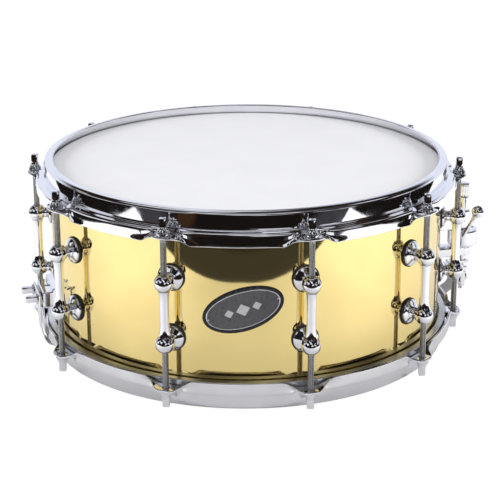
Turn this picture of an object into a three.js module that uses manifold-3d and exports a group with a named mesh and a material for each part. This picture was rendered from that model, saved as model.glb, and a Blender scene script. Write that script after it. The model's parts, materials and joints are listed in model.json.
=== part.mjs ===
// Snare drum, 14 by 6 inches: polished brass shell, ten tube lugs, turned-in steel hoops, a throw-off strainer,
// a butt plate and a set of snare wires. Each physical piece is one named mesh.
// Millimetres, +Z up. The drum's axis is the Z axis, and the origin is the middle of the batter head's upper face.
// Heights in this file are measured from the drum's middle plane, and the whole group is lowered to the origin.
// Angles around the drum are degrees from the badge side (-Y), growing towards +X.
// Every piece is drawn in a frame whose +X points straight out of the drum and +Y runs round it.
import * as THREE from "three";
import { mergeVertices } from "three/addons/utils/BufferGeometryUtils.js";
import Module from "manifold-3d";

const wasm = await Module();
wasm.setup();

// ---------------------------------------------------------------- driving dimensions

const SHELL_RADIUS = 177;
const SHELL_DEPTH = 152.4;
const SHELL_WALL = 1.2;
const RIM_HEIGHT = 9.8; // how far a hoop's rim stands beyond the shell's bearing edge
const CLEARANCE = 0.3; // between pieces that touch
const RING_SEGMENTS = 48;

const LUG_COUNT = 10;
const FIRST_LUG_ANGLE = 18; // angle 0 is half way between two lugs
const BADGE_ANGLE = 1.3;
const ROD_CIRCLE_RADIUS = 192.6;
const POST_HEIGHT = 26.35; // of each lug post from the middle plane
const BALL_RADIUS = 8.2;
const LUG_FOOT_RADIUS = SHELL_RADIUS + 1.3; // the lug's feet stand on rubber gaskets
const LUG_BORE_RADIUS = 3.2;
const ROD_RADIUS = 2.75;
const ROD_FLANGE_RADIUS = 5.2;
const ROD_HEAD_SQUARE = 6.35;

const HOOP_STEEL = 2.3;
const HOOP_WALL_RADIUS = 181.3; // outside of the upright wall above the step
const HOOP_LIP_RADIUS = 189.3; // outside of the lip below the step
const HOOP_FLANGE_RADIUS = 173.4; // inner edge of the turned-in flange
const FLESH_HOOP_RADIUS = 184.4; // outside of a head's flesh hoop, inside the lip
const HOOP_LIP_HEIGHT = 27.4; // from the rim down to the lip's free edge
const HOOP_STEP_HEIGHT = 15.5; // from the rim down to the step
const EAR_REACH = 199;
const EAR_DROP = 18.5; // from the rim down to an ear's upper face

const STRAINER_ANGLE = 108;
const BUTT_ANGLE = STRAINER_ANGLE - 180;
const SPINDLE_RADIUS_FROM_AXIS = 216; // distance of the strainer's spindle from the drum's axis
const STRAP_THICKNESS = 0.7;
const STRAP_HALF_WIDTH = 9; // the strap passes between the two clamp screws
const GATE_HALF_WIDTH = 24;
const WIRES_HALF_WIDTH = 20;
const WIRE_COUNT = 20;

// ---------------------------------------------------------------- derived heights

const EDGE = SHELL_DEPTH / 2;
const RIM = EDGE + RIM_HEIGHT;
const FILM_UNDERSIDE = EDGE + CLEARANCE;
const FILM_THICKNESS = 0.5;
const EAR_TOP = RIM - EAR_DROP;
const WASHER_ROOM = 2.2; // between an ear and the rod's flange
const ROD_FLANGE_UNDERSIDE = EAR_TOP + WASHER_ROOM;

// ---------------------------------------------------------------- materials

function finish(color, metalness, roughness, opacity = 1) {
  return new THREE.MeshStandardMaterial({
    color,
    metalness,
    roughness,
    opacity,
    transparent: opacity < 1,
  });
}

const brass = () => finish(0xd9bd78, 1, 0.08);
const chrome = () => finish(0xe6e6ee, 1, 0.06);
const coatedFilm = () => finish(0xececf0, 0, 0.6);
const clearFilm = () => finish(0xe8ecee, 0, 0.25, 0.45);
const aluminium = () => finish(0xc6c8cc, 1, 0.35);
const darkEnamel = () => finish(0x2b2b2d, 0.2, 0.35);
const springSteel = () => finish(0xb9babd, 1, 0.3);
const strapPlastic = () => finish(0xdfe2e4, 0, 0.3, 0.7);

// ---------------------------------------------------------------- solids and booleans

// A closed geometry as a solid, with its shared vertices merged, collapsed triangles dropped and faces turned out.
function toSolid(geometry) {
  const bare = geometry.clone();
  bare.deleteAttribute("normal");
  bare.deleteAttribute("uv");
  const merged = mergeVertices(bare, 1e-4);
  const index = merged.index.array;
  const triangles = [];
  for (let i = 0; i < index.length; i += 3) {
    const [a, b, c] = index.slice(i, i + 3);
    if (a !== b && b !== c && c !== a) triangles.push(a, b, c);
  }
  const make = (triVerts) =>
    new wasm.Manifold(
      new wasm.Mesh({
        numProp: 3,
        vertProperties: merged.attributes.position.array,
        triVerts: new Uint32Array(triVerts),
      }),
    );
  const solid = make(triangles);
  return solid.volume() > 0 ? solid : make(triangles.reverse());
}

function toGeometry(solid) {
  const mesh = solid.getMesh();
  const geometry = new THREE.BufferGeometry();
  geometry.setAttribute("position", new THREE.BufferAttribute(mesh.vertProperties, 3));
  geometry.setIndex(new THREE.BufferAttribute(mesh.triVerts, 1));
  return geometry;
}

function join(...geometries) {
  return toGeometry(geometries.map(toSolid).reduce((sum, solid) => sum.add(solid)));
}

function cut(base, ...tools) {
  return toGeometry(tools.map(toSolid).reduce((rest, tool) => rest.subtract(tool), toSolid(base)));
}

// ---------------------------------------------------------------- basic shapes

// A profile of [radius, height] points turned about the Z axis. It closes on itself unless it meets the axis.
function turned(profile, segments) {
  const meetsAxis = profile[0][0] === 0;
  const points = meetsAxis ? profile : [...profile, profile[0]];
  const geometry = new THREE.LatheGeometry(
    points.map(([radius, height]) => new THREE.Vector2(radius, height)),
    segments,
  );
  return geometry.rotateX(Math.PI / 2);
}

// The same profile turned about a line that runs outwards from the drum, at a tangential offset and a height.
function turnedOutwards(profile, segments, offset, height) {
  return turned(profile, segments).rotateY(Math.PI / 2).translate(0, offset, height);
}

function pin(radius, low, high, segments = 12) {
  return turned([[0, low], [radius, low], [radius, high], [0, high]], segments);
}

function outwardPin(radius, inner, outer, offset, height, segments = 10) {
  return turnedOutwards(
    [[0, inner], [radius, inner], [radius, outer], [0, outer]],
    segments,
    offset,
    height,
  );
}

function block([x0, x1], [y0, y1], [z0, z1]) {
  return new THREE.BoxGeometry(x1 - x0, y1 - y0, z1 - z0).translate(
    (x0 + x1) / 2,
    (y0 + y1) / 2,
    (z0 + z1) / 2,
  );
}

// A plan outline of [x, y] points, raised from one height to another.
function raised(outline, low, high) {
  const shape = new THREE.Shape(outline.map(([x, y]) => new THREE.Vector2(x, y)));
  return new THREE.ExtrudeGeometry(shape, { depth: high - low, bevelEnabled: false }).translate(0, 0, low);
}

// A foot that hugs the shell: an arc on the inside, a flat front, and a width along the shell.
function shellFoot(front, halfWidth, low, high) {
  const arcRadius = SHELL_RADIUS + CLEARANCE;
  const arcSteps = 6;
  const halfAngle = Math.asin(halfWidth / arcRadius);
  const outline = [];
  for (let i = 0; i <= arcSteps; i += 1) {
    const angle = halfAngle - (2 * halfAngle * i) / arcSteps;
    outline.push([arcRadius * Math.cos(angle), arcRadius * Math.sin(angle)]);
  }
  outline.push([front, -halfWidth + 2], [front, halfWidth - 2]);
  return raised(outline, low, high);
}

// ---------------------------------------------------------------- placing

const drum = new THREE.Group();
drum.name = "snare_drum";
drum.position.z = -(FILM_UNDERSIDE + FILM_THICKNESS);

function addPart(name, geometry, material, angle = 90, flipped = false) {
  const clean = toGeometry(toSolid(geometry)).toNonIndexed();
  clean.computeVertexNormals();
  const mesh = new THREE.Mesh(clean, material);
  mesh.name = name;
  mesh.rotation.x = flipped ? Math.PI : 0;
  const holder = new THREE.Group();
  holder.rotation.z = THREE.MathUtils.degToRad(angle - 90);
  holder.add(mesh);
  drum.add(holder);
}

const lugAngles = Array.from(
  { length: LUG_COUNT },
  (_, i) => FIRST_LUG_ANGLE + (360 / LUG_COUNT) * i,
);

function turnedToAngle(geometry, angle) {
  return geometry.rotateZ(THREE.MathUtils.degToRad(angle - 90));
}

// ---------------------------------------------------------------- shell

const STRAINER_SCREW_HEIGHTS = [-3, -31];
const BUTT_SCREW_HEIGHTS = [-25, -37];
const MOUNT_SCREW_RADIUS = 2;
const VENT_RADIUS = 6.2;

function shell() {
  const inside = SHELL_RADIUS - SHELL_WALL;
  const edgeRadius = SHELL_RADIUS - 2.2;
  const lipRadius = SHELL_RADIUS - 7;
  const upperHalf = [
    [SHELL_RADIUS, EDGE - 2.2],
    [edgeRadius, EDGE],
    [lipRadius, EDGE - 3.6],
    [lipRadius, EDGE - 3.6 - SHELL_WALL],
    [edgeRadius, EDGE - SHELL_WALL],
    [inside, EDGE - 2.8],
  ];
  const lowerHalf = upperHalf.map(([radius, height]) => [radius, -height]).reverse();
  const body = turned([...upperHalf, ...lowerHalf], RING_SEGMENTS);
  const hole = (radius, height, angle) =>
    turnedToAngle(outwardPin(radius, inside - 4, SHELL_RADIUS + 4, 0, height, 7), angle);
  const screwHole = MOUNT_SCREW_RADIUS + 0.6;
  const holes = [hole(VENT_RADIUS + 1, 0, 180)];
  for (const angle of lugAngles) {
    holes.push(hole(screwHole, POST_HEIGHT, angle), hole(screwHole, -POST_HEIGHT, angle));
  }
  for (const height of STRAINER_SCREW_HEIGHTS) holes.push(hole(screwHole, height, STRAINER_ANGLE));
  for (const height of BUTT_SCREW_HEIGHTS) holes.push(hole(screwHole, height, BUTT_ANGLE));
  return cut(body, ...holes);
}

function ventGrommet() {
  const bore = VENT_RADIUS - 1.4;
  const face = SHELL_RADIUS + 0.5;
  const inner = SHELL_RADIUS - SHELL_WALL - 1.5;
  return turnedOutwards(
    [
      [bore, inner],
      [VENT_RADIUS, inner],
      [VENT_RADIUS, face],
      [VENT_RADIUS + 2.6, face],
      [VENT_RADIUS + 1.6, face + 1.2],
      [bore, face + 1.2],
    ],
    16,
    0,
    0,
  );
}

// An oval plate, tilted and bent to the shell's curve.
function badge() {
  const halfLength = 34.7;
  const halfHeight = 18.5;
  const middleHeight = 1.8;
  const tilt = THREE.MathUtils.degToRad(18.5);
  const back = SHELL_RADIUS + CLEARANCE;
  const thickness = 0.8;
  const rings = [0, 0.4, 0.75, 1];
  const disc = turned(
    [...rings.map((r) => [r, 0]), ...rings.toReversed().map((r) => [r, thickness])],
    28,
  );
  const position = disc.attributes.position;
  for (let i = 0; i < position.count; i += 1) {
    const along = position.getX(i) * halfLength;
    const across = position.getY(i) * halfHeight;
    const round = along * Math.cos(tilt) - across * Math.sin(tilt);
    const height = along * Math.sin(tilt) + across * Math.cos(tilt);
    const radius = back + position.getZ(i);
    const angle = round / SHELL_RADIUS;
    position.setXYZ(i, radius * Math.cos(angle), radius * Math.sin(angle), middleHeight + height);
  }
  return disc;
}

// ---------------------------------------------------------------- heads

// A head's film: flat over the bearing edge, with its collar going down into the flesh hoop.
function film() {
  const top = FILM_UNDERSIDE + FILM_THICKNESS;
  const inner = SHELL_RADIUS + 0.6;
  const outer = inner + FILM_THICKNESS;
  const collarFoot = EDGE - 13;
  return turned(
    [
      [0, FILM_UNDERSIDE],
      [inner - 1.2, FILM_UNDERSIDE],
      [inner, FILM_UNDERSIDE - 1.2],
      [inner, collarFoot],
      [outer, collarFoot],
      [outer, FILM_UNDERSIDE - 0.9],
      [outer - 1.4, top],
      [0, top],
    ],
    RING_SEGMENTS,
  );
}

function fleshHoop() {
  const inner = SHELL_RADIUS + 0.6 + FILM_THICKNESS + 0.6;
  const outer = FLESH_HOOP_RADIUS;
  const top = RIM - HOOP_STEP_HEIGHT - HOOP_STEEL - CLEARANCE;
  const bottom = EDGE - 16;
  return turned(
    [[inner, bottom], [outer, bottom], [outer, top - 2.2], [outer - 2.2, top], [inner, top]],
    RING_SEGMENTS,
  );
}

// ---------------------------------------------------------------- hoops

const EAR_FLAT = 7; // tangential distance from an ear's middle over which it is fully out
const EAR_END = 18; // tangential distance at which the lip hangs straight down again
const EAR_ROUNDING = 14;
const EAR_STATIONS = [0, 2.6, 5, 11]; // degrees from an ear's middle
const SHOULDER_RADIUS = HOOP_WALL_RADIUS + 2; // at an ear the step is cut back to clear the rod's flange

// How far the lip has turned out into an ear: 1 in the middle of the ear, 0 along the plain lip.
function earShare(distance) {
  return 1 - THREE.MathUtils.smoothstep(distance, EAR_FLAT, EAR_END);
}

// The hoop's section at a tangential distance from the nearest ear, as [radius, height] points.
function hoopSection(distance) {
  const share = earShare(distance);
  const mix = (lip, ear) => lip + (ear - lip) * share;
  const rounding = Math.sqrt(Math.max(0, 1 - (distance / EAR_ROUNDING) ** 2.5));
  const tip = HOOP_LIP_RADIUS + (EAR_REACH - HOOP_LIP_RADIUS) * rounding;
  const step = RIM - HOOP_STEP_HEIGHT;
  const underStep = step - HOOP_STEEL;
  const lipFoot = RIM - HOOP_LIP_HEIGHT;
  const lipInside = HOOP_LIP_RADIUS - HOOP_STEEL;
  const wallInside = HOOP_WALL_RADIUS - HOOP_STEEL;
  const earUnderside = EAR_TOP - HOOP_STEEL;
  const earInside = FLESH_HOOP_RADIUS + 0.6;
  const earRoot = earInside + HOOP_STEEL - CLEARANCE;
  return [
    [HOOP_FLANGE_RADIUS, RIM],
    [HOOP_WALL_RADIUS, RIM],
    [HOOP_WALL_RADIUS, step],
    [mix(HOOP_LIP_RADIUS - 1.2, SHOULDER_RADIUS), step],
    [mix(HOOP_LIP_RADIUS, earRoot - 0.8), mix(step - 1.6, step - 2.6)],
    [mix(HOOP_LIP_RADIUS, earRoot), mix(lipFoot + 4, EAR_TOP)],
    [mix(HOOP_LIP_RADIUS, tip), mix(lipFoot, EAR_TOP)],
    [mix(lipInside, tip), mix(lipFoot, earUnderside)],
    [mix(lipInside, earInside), mix(lipFoot + 2, earUnderside)],
    [mix(lipInside, earInside), mix(underStep - 0.8, underStep - 2.4)],
    [mix(lipInside - 0.8, earInside - 2.4), underStep],
    [wallInside, underStep],
    [wallInside, RIM - HOOP_STEEL],
    [HOOP_FLANGE_RADIUS, RIM - HOOP_STEEL],
  ];
}

// Sections at angles all the way round, skinned into one closed ring.
function ringOfSections(angles, sectionAt) {
  const sections = angles.map(sectionAt);
  const perSection = sections[0].length;
  const vertices = [];
  sections.forEach((section, i) => {
    const angle = THREE.MathUtils.degToRad(angles[i] - 90);
    for (const [radius, height] of section) {
      vertices.push(radius * Math.cos(angle), radius * Math.sin(angle), height);
    }
  });
  const triangles = [];
  for (let i = 0; i < sections.length; i += 1) {
    const next = (i + 1) % sections.length;
    for (let j = 0; j < perSection; j += 1) {
      const k = (j + 1) % perSection;
      const [a, b] = [i * perSection + j, i * perSection + k];
      const [c, d] = [next * perSection + j, next * perSection + k];
      triangles.push(a, b, d, a, d, c);
    }
  }
  const ring = new THREE.BufferGeometry();
  ring.setAttribute("position", new THREE.Float32BufferAttribute(vertices, 3));
  return ring.setIndex(triangles);
}

function hoop() {
  const spacing = 360 / LUG_COUNT;
  const offsets = [
    ...EAR_STATIONS.slice(1).reverse().map((angle) => -angle),
    ...EAR_STATIONS,
    spacing / 2,
  ];
  const angles = lugAngles.flatMap((lug) => offsets.map((offset) => lug + offset));
  const ring = ringOfSections(angles, (angle) => {
    const fromEar = (angle - FIRST_LUG_ANGLE + 720 + spacing / 2) % spacing;
    const offset = Math.abs(fromEar - spacing / 2);
    return hoopSection(THREE.MathUtils.degToRad(offset) * HOOP_LIP_RADIUS);
  });
  const holes = lugAngles.map((angle) =>
    turnedToAngle(pin(ROD_RADIUS + 0.7, EAR_TOP - 4, EAR_TOP + 1, 8).translate(ROD_CIRCLE_RADIUS, 0, 0), angle),
  );
  return cut(ring, ...holes);
}

// Two gates through the lower hoop's wall let the snare straps out. Drawn the same way up as the upper hoop.
function hoopWithSnareGates() {
  const gate = () =>
    block(
      [HOOP_FLANGE_RADIUS - 4, HOOP_WALL_RADIUS + 2],
      [-GATE_HALF_WIDTH, GATE_HALF_WIDTH],
      [RIM - HOOP_STEP_HEIGHT + 1.2, RIM + 2],
    );
  // the lower hoop is turned over about the X axis, which takes an angle to 180 degrees less that angle
  return cut(
    hoop(),
    turnedToAngle(gate(), 180 - STRAINER_ANGLE),
    turnedToAngle(gate(), 180 - BUTT_ANGLE),
  );
}

// ---------------------------------------------------------------- lugs and tension rods

function lugTube() {
  const sides = 8;
  const sector = (2 * Math.PI) / sides;
  // the corners stand out so that the eight-sided ball is as full as a round one
  const cornerRadius = BALL_RADIUS * Math.sqrt(sector / Math.sin(sector));
  const onBall = (degrees) => {
    const angle = THREE.MathUtils.degToRad(degrees);
    return [cornerRadius * Math.cos(angle), POST_HEIGHT + BALL_RADIUS * Math.sin(angle)];
  };
  const boreDepth = 2.5; // height at which the upper threaded bore ends
  const upperHalf = [
    [0, boreDepth],
    [LUG_BORE_RADIUS, boreDepth],
    [LUG_BORE_RADIUS, POST_HEIGHT + 6.8],
    onBall(56),
    onBall(28),
    onBall(0),
    onBall(-30),
    [5.2, POST_HEIGHT - 6.4],
    [4.05, POST_HEIGHT - 14.5],
  ];
  const lowerHalf = upperHalf.map(([radius, height]) => [radius, -height]).reverse();
  return turned([...upperHalf, ...lowerHalf], sides).translate(ROD_CIRCLE_RADIUS, 0, 0);
}

function lugPost(height) {
  const foot = LUG_FOOT_RADIUS;
  return turnedOutwards(
    [
      [0, foot],
      [11, foot],
      [10.6, foot + 1.5],
      [5.2, foot + 4.6],
      [4.5, ROD_CIRCLE_RADIUS - 4.5],
      [0, ROD_CIRCLE_RADIUS - 4.5],
    ],
    8,
    0,
    height,
  );
}

function lug() {
  return join(lugTube(), lugPost(POST_HEIGHT), lugPost(-POST_HEIGHT));
}

// A key rod: square head, flared collar, flange and a threaded shaft that ends inside the lug.
function tensionRod() {
  const tip = 8;
  const collarTop = ROD_FLANGE_UNDERSIDE + 4.6;
  const headTop = collarTop + 7.7;
  const half = ROD_HEAD_SQUARE / 2;
  const shaft = turned(
    [
      [0, tip],
      [ROD_RADIUS, tip],
      [ROD_RADIUS, ROD_FLANGE_UNDERSIDE],
      [ROD_FLANGE_RADIUS, ROD_FLANGE_UNDERSIDE],
      [ROD_FLANGE_RADIUS, ROD_FLANGE_UNDERSIDE + 1.4],
      [3.4, collarTop],
      [0, collarTop],
    ],
    8,
  );
  const head = block([-half, half], [-half, half], [collarTop - 1, headTop]);
  return join(shaft, head).translate(ROD_CIRCLE_RADIUS, 0, 0);
}

// ---------------------------------------------------------------- strainer

const SLEEVE_RADIUS = 4.6;
const SLEEVE_BORE = SLEEVE_RADIUS + CLEARANCE;
const SPINDLE_RADIUS = 2.1;
const SPINDLE_BORE = SPINDLE_RADIUS + CLEARANCE;
const HUB_TOP = -7.6;
const HUB_BOTTOM = -24;
const HUB_RADIUS = 14.4;
const CLAMP_TOP = -45;
const CLAMP_BOTTOM = -59.6;
const CLAMP_FACE = 207.6; // distance of the clamp's strap face from the drum's axis
const GUIDE_PIN_AT = 210.6;
const GUIDE_PIN_RADIUS = 1.4;
const CLAMP_SCREW_OFFSET = 12.5;
const CLAMP_SCREW_RADIUS = 1.9;

const onSpindle = (geometry) => geometry.translate(SPINDLE_RADIUS_FROM_AXIS, 0, 0);

// The fixed bracket: a foot on the shell, a web, and two arms that end in bosses round the sleeve.
function strainerBase() {
  const foot = shellFoot(184, 19, -40, 6);
  const web = block([183, 190], [-9, 9], [-38, 4]);
  const upperArm = block([188, SPINDLE_RADIUS_FROM_AXIS], [-6.6, 6.6], [-6.3, 4]);
  const lowerArm = block([188, SPINDLE_RADIUS_FROM_AXIS], [-8.4, 8.4], [-33, HUB_BOTTOM - 0.6]);
  const upperBoss = onSpindle(pin(6.6, -6.3, 11, 16));
  const lowerBoss = onSpindle(pin(8.4, -33, HUB_BOTTOM - 0.6, 16));
  const screwHoles = STRAINER_SCREW_HEIGHTS.map((height) =>
    outwardPin(MOUNT_SCREW_RADIUS + CLEARANCE, 170, 189, 0, height),
  );
  return cut(
    join(foot, web, upperArm, lowerArm, upperBoss, lowerBoss),
    onSpindle(pin(SLEEVE_BORE, -60, 60)),
    ...screwHoles,
  );
}

function strainerHub() {
  return onSpindle(
    turned(
      [
        [SLEEVE_BORE, HUB_BOTTOM],
        [HUB_RADIUS - 3, HUB_BOTTOM],
        [HUB_RADIUS, HUB_BOTTOM + 2.4],
        [HUB_RADIUS, HUB_TOP - 1.2],
        [HUB_RADIUS - 1.2, HUB_TOP],
        [SLEEVE_BORE, HUB_TOP],
      ],
      20,
    ),
  );
}

// Where the lever's arm leaves the hub, and the middle of its ball.
const LEVER_ROOT = new THREE.Vector3(211, -12.5, -12);
const LEVER_BALL = new THREE.Vector3(222.5, -19, 14);

// The lever's arm stops a hair short of the hub's socket, which is cut to take it.
function leverArm(radius) {
  const direction = LEVER_BALL.clone().sub(LEVER_ROOT);
  const arm = pin(radius, 0, direction.length(), 10);
  const turn = new THREE.Quaternion().setFromUnitVectors(
    new THREE.Vector3(0, 0, 1),
    direction.normalize(),
  );
  return arm.applyQuaternion(turn).translate(...LEVER_ROOT.toArray());
}

function strainerCam() {
  return cut(strainerHub(), leverArm(1.8 + CLEARANCE).translate(0, 0, -CLEARANCE));
}

function strainerLever() {
  const ball = new THREE.SphereGeometry(6, 14, 9).translate(...LEVER_BALL.toArray());
  return join(leverArm(1.8), ball);
}

// The sliding sleeve carries the knob above, and the guide pin for the clamp below.
function strainerSlider() {
  const sleeve = onSpindle(pin(SLEEVE_RADIUS, -41.5, 24.4, 14));
  const flange = block([206.5, 221], [-6, 6], [-41.5, -38.5]);
  const guide = pin(GUIDE_PIN_RADIUS, -63, -39, 8).translate(GUIDE_PIN_AT, 0, 0);
  return cut(join(sleeve, flange, guide), onSpindle(pin(SPINDLE_BORE, -60, 40, 10)));
}

// The knob is fluted, and its spindle runs down through the sleeve into the clamp.
function strainerKnob() {
  const low = 24.4 + CLEARANCE;
  const high = 38;
  const flutes = 9;
  const outline = [];
  for (let i = 0; i < flutes * 2; i += 1) {
    const angle = (Math.PI * i) / flutes;
    const radius = i % 2 ? 4.3 : 5.2;
    outline.push([radius * Math.cos(angle), radius * Math.sin(angle)]);
  }
  const grip = raised(outline, low, high - 1.8);
  const cap = pin(5.2, high - 1.8, high, 18);
  return onSpindle(join(grip, cap, pin(SPINDLE_RADIUS, -69, low + 1, 10)));
}

function strainerClampBlock() {
  const bar = block([CLAMP_FACE, 212.4], [-19, 19], [CLAMP_BOTTOM, CLAMP_TOP]);
  const boss = block([CLAMP_FACE, 220.4], [-5.2, 5.2], [CLAMP_BOTTOM, CLAMP_TOP]);
  const middle = (CLAMP_BOTTOM + CLAMP_TOP) / 2;
  return cut(
    join(bar, boss),
    onSpindle(pin(SPINDLE_BORE, -70, -40, 10)),
    pin(GUIDE_PIN_RADIUS + CLEARANCE, -70, -40, 8).translate(GUIDE_PIN_AT, 0, 0),
    outwardPin(CLAMP_SCREW_RADIUS + CLEARANCE, 200, 225, CLAMP_SCREW_OFFSET, middle),
    outwardPin(CLAMP_SCREW_RADIUS + CLEARANCE, 200, 225, -CLAMP_SCREW_OFFSET, middle),
  );
}

function strainerClampPlate() {
  const outer = CLAMP_FACE - 1.6;
  const middle = (CLAMP_BOTTOM + CLAMP_TOP) / 2;
  return cut(
    block([outer - 2.2, outer], [-19, 19], [middle - 5.5, middle + 5.5]),
    outwardPin(CLAMP_SCREW_RADIUS + CLEARANCE, 200, 225, CLAMP_SCREW_OFFSET, middle),
    outwardPin(CLAMP_SCREW_RADIUS + CLEARANCE, 200, 225, -CLAMP_SCREW_OFFSET, middle),
  );
}

// A round-headed screw pointing at the drum, its head's seat at a given distance from the drum's axis.
function strainerClampScrew(offset) {
  const seat = 212.4 + CLEARANCE;
  return turnedOutwards(
    [
      [0, CLAMP_FACE - 4],
      [CLAMP_SCREW_RADIUS, CLAMP_FACE - 4],
      [CLAMP_SCREW_RADIUS, seat],
      [3.6, seat],
      [3.6, seat + 2],
      [2.6, seat + 3],
      [0, seat + 3],
    ],
    10,
    offset,
    (CLAMP_BOTTOM + CLAMP_TOP) / 2,
  );
}

// A pan-headed screw from inside the shell into a fitting's foot.
function mountScrew(height) {
  const seat = SHELL_RADIUS - SHELL_WALL - CLEARANCE - 0.2;
  return turnedOutwards(
    [
      [0, seat - 2.4],
      [3.4, seat - 2.4],
      [4.4, seat - 1.2],
      [4.4, seat],
      [MOUNT_SCREW_RADIUS, seat],
      [MOUNT_SCREW_RADIUS, SHELL_RADIUS + 10],
      [0, SHELL_RADIUS + 10],
    ],
    10,
    0,
    height,
  );
}

// ---------------------------------------------------------------- butt plate

const BUTT_MIDDLE = -31;
const BUTT_FACE = 192.2;
const BUTT_SCREW_OFFSET = 12;
const BUTT_SCREW_RADIUS = 2.2;
const BUTT_SCREW_BORE = BUTT_SCREW_RADIUS + CLEARANCE;

function buttBase() {
  const foot = shellFoot(184, 21, BUTT_MIDDLE - 11.5, BUTT_MIDDLE + 10.5);
  const body = block([183, BUTT_FACE], [-18, 18], [BUTT_MIDDLE - 7, BUTT_MIDDLE + 7]);
  return cut(
    join(foot, body),
    outwardPin(BUTT_SCREW_BORE, 182, 200, BUTT_SCREW_OFFSET, BUTT_MIDDLE),
    outwardPin(BUTT_SCREW_BORE, 182, 200, -BUTT_SCREW_OFFSET, BUTT_MIDDLE),
    ...BUTT_SCREW_HEIGHTS.map((height) =>
      outwardPin(MOUNT_SCREW_RADIUS + CLEARANCE, 170, 188, 0, height),
    ),
  );
}

const BUTT_PLATE_INNER = BUTT_FACE + 1.4;
const BUTT_PLATE_OUTER = BUTT_PLATE_INNER + 2.4;

function buttClampPlate() {
  return cut(
    block([BUTT_PLATE_INNER, BUTT_PLATE_OUTER], [-19, 19], [BUTT_MIDDLE - 5, BUTT_MIDDLE + 5]),
    outwardPin(BUTT_SCREW_BORE, 182, 200, BUTT_SCREW_OFFSET, BUTT_MIDDLE),
    outwardPin(BUTT_SCREW_BORE, 182, 200, -BUTT_SCREW_OFFSET, BUTT_MIDDLE),
  );
}

// A drum-key screw: round flange and a square head pointing out of the drum.
function buttClampScrew(offset) {
  const seat = BUTT_PLATE_OUTER + CLEARANCE;
  const half = 2.8;
  const shank = turnedOutwards(
    [
      [0, 183],
      [BUTT_SCREW_RADIUS, 183],
      [BUTT_SCREW_RADIUS, seat],
      [5, seat],
      [5, seat + 1.4],
      [0, seat + 1.4],
    ],
    12,
    offset,
    BUTT_MIDDLE,
  );
  const head = block(
    [seat + 1, 207],
    [offset - half, offset + half],
    [BUTT_MIDDLE - half, BUTT_MIDDLE + half],
  );
  return join(shank, head);
}

// ---------------------------------------------------------------- snare wires and straps

const STRAP_LEVEL = -(FILM_UNDERSIDE + FILM_THICKNESS) - 2.4; // the strap's middle where it passes under the hoop
const WIRE_PLATE_END = 168;
const WIRE_PLATE_LENGTH = 14;

// A flat strap along a path of [distance from the axis, height] points.
function strap(path) {
  const half = STRAP_THICKNESS / 2;
  const side = (sign) =>
    path.map(([x, z], i) => {
      const [x0, z0] = path[Math.max(i - 1, 0)];
      const [x1, z1] = path[Math.min(i + 1, path.length - 1)];
      const length = Math.hypot(x1 - x0, z1 - z0);
      return [x + (sign * half * (z1 - z0)) / length, z - (sign * half * (x1 - x0)) / length];
    });
  const outline = [...side(1), ...side(-1).reverse()];
  const strip = raised(outline, -STRAP_HALF_WIDTH, STRAP_HALF_WIDTH);
  return strip.rotateX(Math.PI / 2);
}

// Both straps leave the wires' end plate, pass out through the hoop's gate and turn up round the hoop's lip.
function strapUnderHoop() {
  return [
    [WIRE_PLATE_END + 1, STRAP_LEVEL],
    [182, STRAP_LEVEL + 0.4],
    [187.5, STRAP_LEVEL + 2.4],
  ];
}

function buttStrap() {
  const middle = BUTT_FACE + 0.7;
  return strap([...strapUnderHoop(), [191, -73.5], [middle, -62], [middle, BUTT_MIDDLE + 6]]);
}

function strainerStrap() {
  const middle = CLAMP_FACE - 0.95;
  return strap([...strapUnderHoop(), [191, -73.5], [middle, -63], [middle, -46]]);
}

// Twenty strands soldered to a plate at each end, drawn as plain bars.
function snareWires() {
  const top = -(FILM_UNDERSIDE + FILM_THICKNESS) - 0.7;
  const spacing = (2 * WIRES_HALF_WIDTH) / (WIRE_COUNT - 1);
  const half = 0.6;
  const start = WIRE_PLATE_END - WIRE_PLATE_LENGTH + 2;
  const plates = [-1, 1].map((side) => {
    const ends = [side * WIRE_PLATE_END, side * (WIRE_PLATE_END - WIRE_PLATE_LENGTH)];
    return block(
      ends.sort((a, b) => a - b),
      [-WIRES_HALF_WIDTH - 1, WIRES_HALF_WIDTH + 1],
      [top - 1.6, top - 0.8],
    );
  });
  const strands = Array.from({ length: WIRE_COUNT }, (_, i) => {
    const offset = spacing * (i - (WIRE_COUNT - 1) / 2);
    return block([-start, start], [offset - half, offset + half], [top - 1.2, top]);
  });
  return join(...plates, ...strands);
}

// ---------------------------------------------------------------- assembly

addPart("shell", shell(), brass());
addPart("vent_grommet", ventGrommet(), chrome(), 180);
addPart("badge", badge(), darkEnamel(), BADGE_ANGLE);
addPart("batter_head_film", film(), coatedFilm());
addPart("snare_head_film", film(), clearFilm(), 90, true);
addPart("batter_flesh_hoop", fleshHoop(), aluminium());
addPart("snare_flesh_hoop", fleshHoop(), aluminium(), 90, true);
addPart("top_hoop", hoop(), chrome());
addPart("bottom_hoop", hoopWithSnareGates(), chrome(), 90, true);

lugAngles.forEach((angle, i) => {
  const number = String(i + 1).padStart(2, "0");
  addPart(`lug_${number}`, lug(), chrome(), angle);
  addPart(`top_rod_${number}`, tensionRod(), chrome(), angle);
  addPart(`bottom_rod_${number}`, tensionRod(), chrome(), angle, true);
});

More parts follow.
